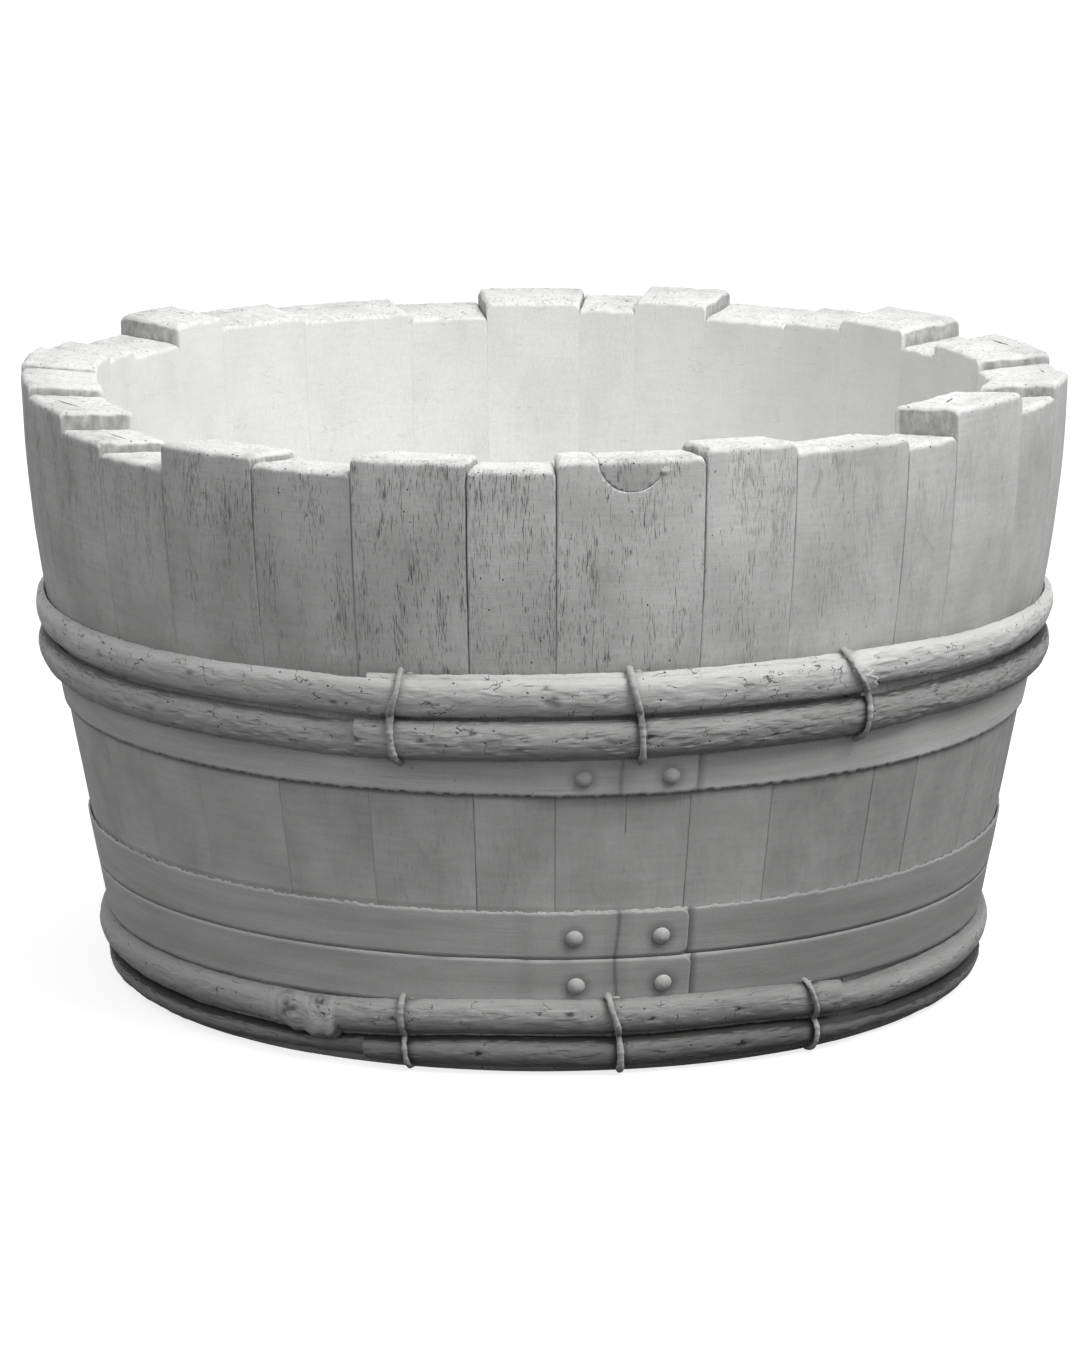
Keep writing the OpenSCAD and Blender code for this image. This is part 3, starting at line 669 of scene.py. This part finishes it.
def bung_cone(azimuth, top, gap):
    """The cone that the bung fits, level and square to the tub's face."""
    half, over, sides = BUNG_D / 2, 20 * MM, 96
    growth = BUNG_TAPER / 2 / WALL * over
    inner_r = wall_r(top) - WALL
    rings = [(inner_r - over, half - BUNG_TAPER / 2 - growth + gap),
             (inner_r + WALL + over, half + growth + gap)]
    out = np.array([math.sin(azimuth), -math.cos(azimuth), 0])
    across = np.array([math.cos(azimuth), math.sin(azimuth), 0])
    corners = [
        out * reach + across * r * math.cos(t) + np.array([0, 0, top + r * math.sin(t)])
        for reach, r in rings
        for t in (2 * math.pi * k / sides for k in range(sides))
    ]
    faces = [(k, (k + 1) % sides, sides + (k + 1) % sides, sides + k) for k in range(sides)]
    faces += [tuple(range(sides))[::-1], tuple(range(sides, 2 * sides))]
    mesh = bpy.data.meshes.new("bung_cone")
    mesh.from_pydata([tuple(c) for c in corners], [], faces)
    skin = bmesh.new()
    skin.from_mesh(mesh)
    bmesh.ops.recalc_face_normals(skin, faces=skin.faces)
    return place_new("bung_cone", write_back(skin, mesh))


def cut(board, cone, operation):
    """Cuts a board with the cone, or keeps only what lies inside it."""
    modifier = board.modifiers.new("cut", "BOOLEAN")
    modifier.operation = operation
    modifier.solver = "EXACT"
    modifier.object = cone
    made = baked(board)
    board.modifiers.clear()
    board.data = made
    bpy.data.objects.remove(cone)


def fit_board(name, node, number, set_back, seed, material):
    """A worn board in the place of a stave's node, and what its grain is noted from."""
    start, stop = azimuths(node)
    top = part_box(node)[1].z
    opens = [OPEN_SEAMS.get(seam, OTHER_SEAMS) for seam in (number - 1 or len(stave_nodes), number)]
    lifts = LIFTS.get(number, (0, 0))
    return grow(name, stave, {
        "Start": start,
        "Sweep": stop - start,
        "Top": top,
        "Lift start": float(lifts[0]),
        "Lift stop": float(lifts[1]),
        "Set back": set_back,
        "Open start": opens[0],
        "Open stop": opens[1],
        "Seed": seed,
        "Material": material,
    }), (start, stop, top, lifts, seed, opens)


stave = stave_tree()
stave_nodes = sorted(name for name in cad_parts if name.startswith("stave_"))
for number, node in enumerate(stave_nodes, 1):
    set_back = (0.1 + 0.8 * own_share(number)) * MM
    board, place = fit_board(node + "_oak", node, number, set_back, number + 0.0, stave_oak)
    if node == "stave_01":
        bung_az, bung_z = sum(place[:2]) / 2, place[2]
        cut(board, bung_cone(bung_az, bung_z, 0.25 * FIT), "DIFFERENCE")
        bung, bung_place = fit_board("half_bung_oak", node, number, set_back, 40.0, bung_oak)
        cut(bung, bung_cone(bung_az, bung_z, 0), "INTERSECT")
        note_grain(bung, *bung_place)
        seat(bung, "bung_wood", "half_bung")
        raise_nub(board)
    note_grain(board, *place, crack=CRACKS.get(number), check=CHECKS.get(number))
    seat(board, "stave_oak", node)


# ---- Copies of the fitted solids, with finer skins
def merged_copy(node):
    """A copy of a node's mesh, and its skin with doubled points merged."""
    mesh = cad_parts[node].data.copy()
    mesh.materials.clear()
    skin = bmesh.new()
    skin.from_mesh(mesh)
    bmesh.ops.remove_doubles(skin, verts=skin.verts, dist=1e-6)
    return mesh, skin


def creased_copy(node):
    """A node's mesh with its triangles joined into quads and its corners creased."""
    mesh, skin = merged_copy(node)
    bmesh.ops.join_triangles(skin, faces=skin.faces, angle_face_threshold=math.radians(40),
                             angle_shape_threshold=math.pi)
    crease = skin.edges.layers.float.new("crease_edge")
    for edge in skin.edges:
        if edge.is_manifold and edge.calc_face_angle() > math.radians(60):
            edge[crease] = 0.85
    return write_back(skin, mesh)


def skin_tree(name):
    """Subdivides a skin and gives it the lumps, ridges and dents of a split rod or a cord."""
    tree, add, given = shape_tree(name, ("Level", "Swell", "Lumps", "Ridges", "Flakes"),
                                  grows_on_mesh=True)
    crease = add("GeometryNodeInputNamedAttribute", {"Name": "crease_edge"}, data_type="FLOAT")
    skin = add("GeometryNodeSubdivisionSurface",
               {"Mesh": given["Geometry"], "Edge Crease": crease,
                "Level": add("FunctionNodeFloatToInt", (given["Level"],))})
    place = add("GeometryNodeInputPosition")
    lumps, ridges, flakes = [
        add(NOISE, {"Vector": add(VECTOR, (place, to_a_metre), operation="MULTIPLY"),
                    "Detail": detail, "Roughness": roughness})
        for to_a_metre, detail, roughness in (
            ((22, 22, 45), 2.0, 0.5), ((45, 45, 300), 3.0, 0.6), ((75, 75, 120), 3.0, 0.6))
    ]
    push = add("MULTIPLY", (add(RANGE, (lumps, 0.25, 0.75, -1.0, 1.0)), given["Lumps"]))
    ridges = add(RANGE, (ridges, 0.25, 0.75, -1.0, 1.0))
    push = add("MULTIPLY_ADD", (ridges, given["Ridges"], push))
    flakes = add(RANGE, (flakes, 0.46, 0.51, -1.0, 0.0))
    push = add("MULTIPLY_ADD", (flakes, given["Flakes"], push))
    push = add("ADD", (push, given["Swell"]))
    push = add(VECTOR, {0: add("GeometryNodeInputNormal"), "Scale": push}, operation="SCALE")
    skin = add("GeometryNodeSetPosition", {"Geometry": skin, "Offset": push})
    return end_tree(tree, skin, given["Material"])


# Soil and painted shade on each withy, more on the lower ones, and its knots and chips: azimuth
# in degrees, how far up it, radius, and how far it stands up
WITHIES = {
    "upper_withy_top": (-0.06, [
        (0.9, 0.42, 5 * MM, 0), (0.2, 0.72, 2.6 * MM, 0), (-22.5, 0.3, 2.6 * MM, 0),
        (6.3, 0.5, 2 * MM, 0), (21.5, 0.55, 3 * MM, 0.5 * MM), (30, 0.3, 2 * MM, 0),
        (-41, 0.6, 3.5 * MM, 0.8 * MM), (-57, 0.5, 4 * MM, 0.8 * MM)]),
    "upper_withy_bottom": (0.18, [
        (-20.2, 0.5, 3.4 * MM, 0), (-13, 0.55, 2.4 * MM, 0), (-7.5, 0.75, 3 * MM, 0),
        (-2.5, 0.35, 2 * MM, 0), (11, 0.6, 2.4 * MM, 0), (25, 0.4, 2.6 * MM, 0.4 * MM),
        (-48, 0.5, 3.5 * MM, 0.6 * MM)]),
    "foot_withy_top": (0.2, [
        (-32.6, 0.62, 8 * MM, 1.6 * MM), (-28.2, 0.85, 5 * MM, 0.8 * MM),
        (-18.4, 0.5, 2.4 * MM, 0), (3, 0.62, 3 * MM, 0), (13, 0.45, 2.4 * MM, 0),
        (24, 0.5, 2.2 * MM, 0)]),
    "foot_withy_bottom": (0.34, [(-8, 0.5, 2.4 * MM, 0), (25, 0.5, 2.6 * MM, 0)]),
}
# The right end of the upper top withy is splintered: its azimuth and how deep
SPLINTERED = {"upper_withy_top": (37.5, 9 * MM)}
# The butt of the foot's top withy swells to a burl: where it starts and breaks off
BURLED = {"foot_withy_top": (-41, -26.8)}


def kept_near(points, others, reach):
    """Distance from each point to the others, up to a reach."""
    tree = KDTree(len(others))
    for number, other in enumerate(others):
        tree.insert(other, number)
    tree.balance()
    lowest, highest = others.min(axis=0) - reach, others.max(axis=0) + reach
    off = np.full(len(points), reach)
    for number in np.flatnonzero(((points > lowest) & (points < highest)).all(axis=1)):
        off[number] = min(tree.find(points[number])[2], reach)
    return off


def span(points, near):
    """The lowest and the highest of the points that are near."""
    return points[near, 2].min(), points[near, 2].max()


def splinter(points, azimuth, end, depth):
    """Pulls the end of a rod back unevenly over its height."""
    near = np.abs(azimuth - end) < 3
    low, high = span(points, near)
    share = (points[:, 2] - low) / (high - low)
    back = 0.45 - 0.55 * np.sin(share * 7.2 + 0.4) + 0.25 * np.sin(share * 31)
    back = depth * np.clip(back, 0, 1.1) * ramp(azimuth, end - 2.4, end) * near
    turn = np.radians(azimuth)
    points[:, 0] -= back * np.cos(turn)
    points[:, 1] -= back * np.sin(turn)


def burl(points, azimuth, start, stop):
    """Swells a rod outwards and down, more and more towards where the burl breaks off."""
    swell = ramp(azimuth, start, stop - 1.2) ** 1.5 * ramp(azimuth, stop + 0.5, stop)
    middle = sum(span(points, np.abs(azimuth - stop) < 3)) / 2
    swell *= ramp(points[:, 2], middle + 12 * MM, middle - 8 * MM)
    swell *= 0.85 + 0.15 * np.sin(azimuth * 2.1)
    turn = np.radians(azimuth)
    points[:, 0] += 6 * MM * swell * np.sin(turn)
    points[:, 1] -= 6 * MM * swell * np.cos(turn)
    points[:, 2] -= 8 * MM * swell


def knot_soil_and_shade(rod, node, soil_and_shade, knots):
    """Shapes a withy's ends and knots, darkens its knots and chips, and paints shade on it."""
    points, normals = points_of(rod)
    azimuth = np.degrees(np.arctan2(points[:, 0], -points[:, 1]))
    if node in SPLINTERED:
        splinter(points, azimuth, *SPLINTERED[node])
    if node in BURLED:
        burl(points, azimuth, *BURLED[node])
    # Painted shade on the underside and close to the floor, over the withy's own soil and shade
    dirt = soil_and_shade + 0.3 * ramp(-normals[:, 2], 0.2, 1.0) + 0.4 * ramp(points[:, 2], 34 * MM, 0)
    # Painted shade on the upward faces, deeper on the lower withy of each pair, whose top lies in
    # the groove
    dirt += (0.3 if node.endswith("top") else 0.6) * ramp(normals[:, 2], 0.1, 0.8)
    # Painted shade round the cords
    for cord in cords:
        dirt += 0.35 * ramp(kept_near(points, cord, 6 * MM), 6 * MM, 1 * MM)
    # Painted shade low down towards the sides
    if node != "upper_withy_top":
        dirt += (0.8 if node.startswith("foot") else 1.0) * painted_lee_shade(azimuth)
    for at, share, size, stands in knots:
        low, high = span(points, np.abs(azimuth - at) < 1.5)
        along = np.radians(azimuth - at) * np.hypot(points[:, 0], points[:, 1])
        up = points[:, 2] - low - share * (high - low)
        off = np.hypot(along * 0.75, up) / size
        # A dark heart with a wavy outline, sunk in, and rings round a knot that stands up
        round_it = np.arctan2(up, along)
        swirl = off + 0.2 * np.sin(round_it * 3 + at) + 0.12 * np.sin(round_it * 5 + 2 * at)
        heart = np.exp(-np.clip(swirl / 0.8, 0, 3) ** 4) * (off < 3)
        rise = stands * np.exp(-((off / 1.7) ** 2)) - 0.7 * MM * heart
        points += normals * rise[:, None]
        dirt += (0.35 if stands else 0.6) * heart
        if stands:
            dirt += 0.3 * np.exp(-((off / 1.6) ** 2)) * ramp(np.sin(swirl * 6.5), 0.2, 0.9)
    move_points(rod, points)
    note(rod, dirt=np.clip(dirt, 0, 1))


skin = skin_tree("worn_skin")
lashing_nodes = sorted(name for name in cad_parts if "_lashing_" in name)
cords = [
    np.unique([tuple(vertex.co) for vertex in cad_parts[name].data.vertices], axis=0)
    for name in lashing_nodes
]
for node, (soil_and_shade, knots) in WITHIES.items():
    rod = grow(node + "_bark", skin, {
        "Level": 3.0,
        "Swell": 0.0,
        "Lumps": 0.45 * MM,
        "Ridges": 0.08 * MM,
        "Flakes": (0.55 if node == "upper_withy_bottom" else 0.35) * MM,
        "Material": withy_bark,
    }, creased_copy(node))
    knot_soil_and_shade(rod, node, soil_and_shade, knots)
    seat(rod, "withy", node)

for node in lashing_nodes:
    cord = grow(node + "_cord", skin, {
        "Level": 2.0,
        "Swell": 0.4 * MM,
        "Lumps": 0.7 * MM,
        "Ridges": 0.6 * MM,
        "Flakes": 0.0,
        "Material": hoop_cord,
    }, creased_copy(node))
    # Some dirt, and painted shade in the groove, under the cord's lower turn and on its top
    points, normals = points_of(cord)
    low, high = points[:, 2].min(), points[:, 2].max()
    share = (points[:, 2] - low) / (high - low)
    dirt = 0.1 + 0.45 * ramp(np.abs(share - 0.5), 0.12, 0.02)
    dirt += 0.3 * ramp(share, 0.12, 0) + 0.3 * ramp(normals[:, 2], 0.3, 0.9)
    note(cord, dirt=np.clip(dirt, 0, 1))
    seat(cord, "cord", node)


# ---- Iron bands
# Lower edge, width, azimuth of the end of the lap in degrees, raggedness of the lower and of the
# upper edge, and soil and painted shade
BANDS = {
    "middle_band": (216 * MM, 38 * MM, 17.1, 2.2 * MM, 0.6 * MM, 0.0),
    "lower_band": (90.1 * MM, 37.7 * MM, 17.2, 0.3 * MM, 1.8 * MM, 0.19),
    "foot_band": (51.5 * MM, 38.4 * MM, 17.8, 0.8 * MM, 0.1 * MM, 0.22),
}
ROUND_CORNER = 6 * MM
HAMMERED = 0.5 * MM
# The crack between two staves that shows through the bands, in degrees
STAVE_CRACK = 8.6


def band_tree():
    """A strip of iron from its end underneath, once round the tub and over its own end."""
    tree, add, given = shape_tree("iron_band", ("Low", "Width", "End", "Lap", "Ragged low",
                                                "Ragged top", "Seed"))
    block, u, v, w = unit_block(add, 1500, 2, 13)
    mid_z = add("MULTIPLY_ADD", (given["Width"], 0.5, given["Low"]))
    wall = wall_field(add, mid_z)
    sweep = add("ADD", (add("DIVIDE", (given["Lap"], wall)), 2 * math.pi))
    start = add("SUBTRACT", (given["End"], sweep))
    azimuth = add("MULTIPLY_ADD", (u, sweep, start))
    to_end = add("MULTIPLY", (add("SUBTRACT", (given["End"], azimuth)), wall))

    # The end on top has round corners
    narrower = add("POWER", (add(RANGE, (to_end, 0.0, ROUND_CORNER, 1.0, 0.0)), 2.4))
    narrower = add("MULTIPLY", (narrower, ROUND_CORNER, -1.0))
    half = add("MULTIPLY_ADD", (given["Width"], 0.5, narrower))
    rise = add("MULTIPLY_ADD", (w, 2.0, -1.0))
    z = add("MULTIPLY_ADD", (rise, half, mid_z))

    # Ragged edges and a hammered face
    place = add("ShaderNodeCombineXYZ", (add("MULTIPLY", (azimuth, RIM_R)), given["Seed"], z))
    ragged, dents = [
        add(NOISE, {"Vector": add(VECTOR, (place, to_a_metre), operation="MULTIPLY"),
                    "Detail": detail, "Roughness": roughness})
        for to_a_metre, detail, roughness in (((140, 1, 0), 4.0, 0.7), ((30, 1, 45), 3.0, 0.5))
    ]
    depth = add(MIX, {0: w, 2: given["Ragged low"], 3: given["Ragged top"]})
    at_edge = add("POWER", (add("ABSOLUTE", (rise,)), 6.0))
    ragged = add("MULTIPLY", (add(RANGE, (ragged, 0.42, 0.6, -1.0, 0.0)), depth, at_edge,
                              add("SIGN", (rise,))))
    height = add("ADD", (z, ragged))
    dents = add(RANGE, (dents, 0.25, 0.75, -HAMMERED, 0.0))
    worn = add("MULTIPLY_ADD", (at_edge, -0.12 * MM, dents))

    # The strip steps outwards where it comes to lie over its own end
    stepped = add(RANGE, (to_end, given["Lap"], add("ADD", (given["Lap"], JOGGLE)),
                          IRON + 2 * FIT, FIT), **SMOOTH)
    thick = add("ADD", (worn, IRON))
    outwards = add("MULTIPLY_ADD", (add("SUBTRACT", (1.0, v)), thick, stepped))
    radius = add("ADD", (wall_field(add, height), outwards))
    return end_tree(tree, bend_round(add, block, radius, azimuth, height), given["Material"])


band = band_tree()
rivets = np.array([vertex.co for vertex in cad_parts["band_rivets"].data.vertices])
for number, (node, (low, width, end, low_edge, top_edge, soil_and_shade)) in enumerate(BANDS.items()):
    strip = grow(node + "_iron", band, {
        "Low": low,
        "Width": width,
        "End": math.radians(end),
        "Lap": LAP,
        "Ragged low": low_edge,
        "Ragged top": top_edge,
        "Seed": number * 5.3,
        "Material": band_iron,
    })
    x, y, z = points_of(strip)[0].T
    # Dirt lies along the edges, round the rivets and where the staves' crack runs behind. Shade is
    # painted towards the sides, and a painted shadow lies beside the lap's end
    azimuth = np.degrees(np.arctan2(x, -y))
    dirt = soil_and_shade + 0.04 * ramp(np.abs(z - low - width / 2), width / 2 - 3 * MM, width / 2)
    if node == "middle_band":
        dirt += 0.6 * painted_lee_shade(azimuth) + 0.11 * ramp(azimuth, -20, -42) * in_front(azimuth)
    else:
        dirt += 1.3 * painted_lee_shade(azimuth)
    own = rivets[(rivets[:, 2] > low) & (rivets[:, 2] < low + width)]
    for side in (own[own[:, 0] < own[:, 0].mean()], own[own[:, 0] >= own[:, 0].mean()]):
        middle = (side.min(axis=0) + side.max(axis=0)) / 2
        off = np.hypot(x - middle[0], z - middle[2]) + FAR * (y > 0)
        dirt += 0.3 * ramp(off, 13 * MM, 7 * MM)
    # A painted shadow beside the lap's end
    dirt += 0.4 * ramp(azimuth, end + 1.2, end + 0.1) * (azimuth > end)
    crack = np.abs(azimuth - STAVE_CRACK + 0.2 * np.sin(z * 90))
    dirt += 0.3 * ramp(crack, 0.35, 0.05) + 0.12 * ramp(crack, 2.0, 0.2)
    note(strip, dirt=np.clip(dirt, 0, 1))
    seat(strip, "band_iron", node)


# ---- Bottom boards
def gridded_copy(node, first, last):
    """A copy of a bottom board, cut into strips and squares that wear can follow."""
    mesh, skin = merged_copy(node)
    bmesh.ops.dissolve_limit(skin, angle_limit=math.radians(0.5), verts=skin.verts,
                             edges=skin.edges)
    reach = max(abs(first[0]), abs(last[0]))
    cuts = [((x, 0, 0), (1, 0, 0)) for x in np.arange(-reach + 6 * MM, reach - 2 * MM, 11 * MM)]
    inset = [0.5 * MM, 1.5 * MM, 3 * MM, 7 * MM]
    across = [first[1] + off for off in inset] + [last[1] - off for off in inset]
    across += list(np.arange(first[1] + 18 * MM, last[1] - 12 * MM, 11 * MM))
    cuts += [((0, y, 0), (0, 1, 0)) for y in across]
    for place, way in cuts:
        bmesh.ops.bisect_plane(skin, geom=skin.verts[:] + skin.edges[:] + skin.faces[:],
                               dist=1e-6, plane_co=place, plane_no=way)
    bmesh.ops.triangulate(skin, faces=[face for face in skin.faces if len(face.verts) > 4])
    return write_back(skin, mesh)


def fit_bottom_board(node, number):
    """A bottom board with worn joints, hollows and dirt, in the place of its node."""
    first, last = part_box(node)
    piece = place_new(node + "_oak", gridded_copy(node, first, last))
    points, _ = points_of(piece)
    x, y, z = points.T.copy()
    # The outermost boards have a joint on one side only
    side = np.minimum(y - first[1], last[1] - y)
    joint = side + 20 * MM * ((y - first[1] < side + 1e-9) & (number == 1))
    joint += 20 * MM * ((last[1] - y < side + 1e-9) & (number == 5))
    face = ramp(z, last[2] - 1 * MM, last[2])
    hollow = 0.5 + 0.3 * np.sin(x * 31 + number * 2) + 0.2 * np.sin(y * 63 + x * 17 + number)
    fall = 0.8 * MM * hollow + 1.6 * MM * ramp(joint, 3 * MM, 0) ** 2
    points[:, 2] -= fall * face
    move_points(piece, points)
    piece.data.materials.append(bottom_oak)
    piece.data.shade_smooth()
    from_middle = np.hypot(x, y)
    dirt = 0.55 * ramp(joint, 3 * MM, 0) + 0.14 * ramp(joint, 22 * MM, 3 * MM)
    dirt += 0.4 * ramp(from_middle, DRAIN_R + 14 * MM, DRAIN_R)
    dirt += 0.3 * ramp(from_middle, 0.24, 0.28) + 0.05 * own_share(number)
    note(piece, grain=np.stack([x + 0.31 * number, y + 0.11 * number, z], axis=1), dirt=dirt,
         marks=0.4 + 0 * x, wash=0.4 + 0 * x, off_crack=1 + 0 * x, check=np.ones((len(x), 3)))
    seat(piece, "bottom_oak", node)


for number in range(1, 6):
    fit_bottom_board(f"bottom_board_{number}", number)

# ---- Nodes that keep their own solids
for node, material in [("bottom_dowels", dowel_oak), ("band_rivets", rivet_iron)]:
    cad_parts[node].data.materials.clear()
    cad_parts[node].data.materials.append(material)


# ---- Studio
def seen_by_camera(add):
    """1 where the camera looks, straight or by way of a reflection or a glass, and 0 elsewhere."""
    path = add("ShaderNodeLightPath").node.outputs
    return add("MAXIMUM", [path[f"Is {way} Ray"] for way in ("Camera", "Glossy", "Transmission")])


def studio_floor():
    """A pale floor that keeps the tub's shadow and shows white to the camera."""
    mesh = bpy.data.meshes.new("studio_floor")
    reach = 40.0
    mesh.from_pydata([(-reach, -reach, 0), (reach, -reach, 0), (reach, reach, 0),
                      (-reach, reach, 0)], [], [(0, 1, 2, 3)])
    floor = place_new("studio_floor", mesh)
    material, tree, shader = matte("studio_paper", 1.0, 0.0)
    add = partial(put, tree)
    shader.inputs["Base Color"].default_value = srgb("#3C3C3C")
    shadow = add("ShaderNodeBsdfDiffuse", {"Color": srgb("#A0A0A0")})
    glow = add("ShaderNodeEmission", {"Color": (1, 1, 1, 1), "Strength": 0.8})
    paper = add("ShaderNodeAddShader", (shadow, glow))
    choice = add("ShaderNodeMixShader", (seen_by_camera(add), shader.outputs[0], paper))
    tree.links.new(choice, tree.nodes["Material Output"].inputs["Surface"])
    mesh.materials.append(material)


def studio_world():
    """Light from above, falling off towards the horizon, and white where the camera looks."""
    world = bpy.data.worlds.new("studio_sky")
    bpy.context.scene.world = world
    world.use_nodes = True
    tree = world.node_tree
    add = partial(put, tree)
    direction = add("ShaderNodeTexCoord", out="Generated")
    glow = add(RANGE, (add("ShaderNodeSeparateXYZ", (direction,), out="Z"), 0.0, 1.0, 0.34, 1.0))
    strength = add(MIX, {0: seen_by_camera(add), 2: glow, 3: 1.0})
    background = tree.nodes["Background"]
    background.inputs["Color"].default_value = (1, 1, 1, 1)
    tree.links.new(strength, background.inputs["Strength"])


def softbox(name, place, aim, size, power):
    """A square area lamp at a place, facing an aim."""
    lamp = bpy.data.lights.new(name, "AREA")
    lamp.size = size
    lamp.energy = power
    holder = place_new(name, lamp)
    holder.location = place
    way = np.array(aim) - np.array(place)
    flat = math.hypot(way[0], way[1])
    holder.rotation_euler = (math.atan2(flat, -way[2]), 0, math.atan2(-way[0], way[1]))


studio_floor()
studio_world()
softbox("key_softbox", (1.62, -1.42, 3.0), (0, 0, 0.3), 1.8, 84)

# ---- Camera, placed so that the rim, the hoops and the foot fall where the photograph has them
LONG_SIDE_PX = 1350
FOCAL_PX = 6046.7
SENSOR = 36.0
camera_data = bpy.data.cameras.new("camera")
camera_data.sensor_width = SENSOR
camera_data.lens = FOCAL_PX * SENSOR / LONG_SIDE_PX
camera_data.clip_end = 200
camera = place_new("camera", camera_data)
camera.location = (-3.06 * MM, -4565.7 * MM, 1234.8 * MM)
camera.rotation_euler = (math.radians(90) - 0.21796, 0, 0)
bpy.context.scene.camera = camera
bpy.context.scene.view_settings.view_transform = "Standard"
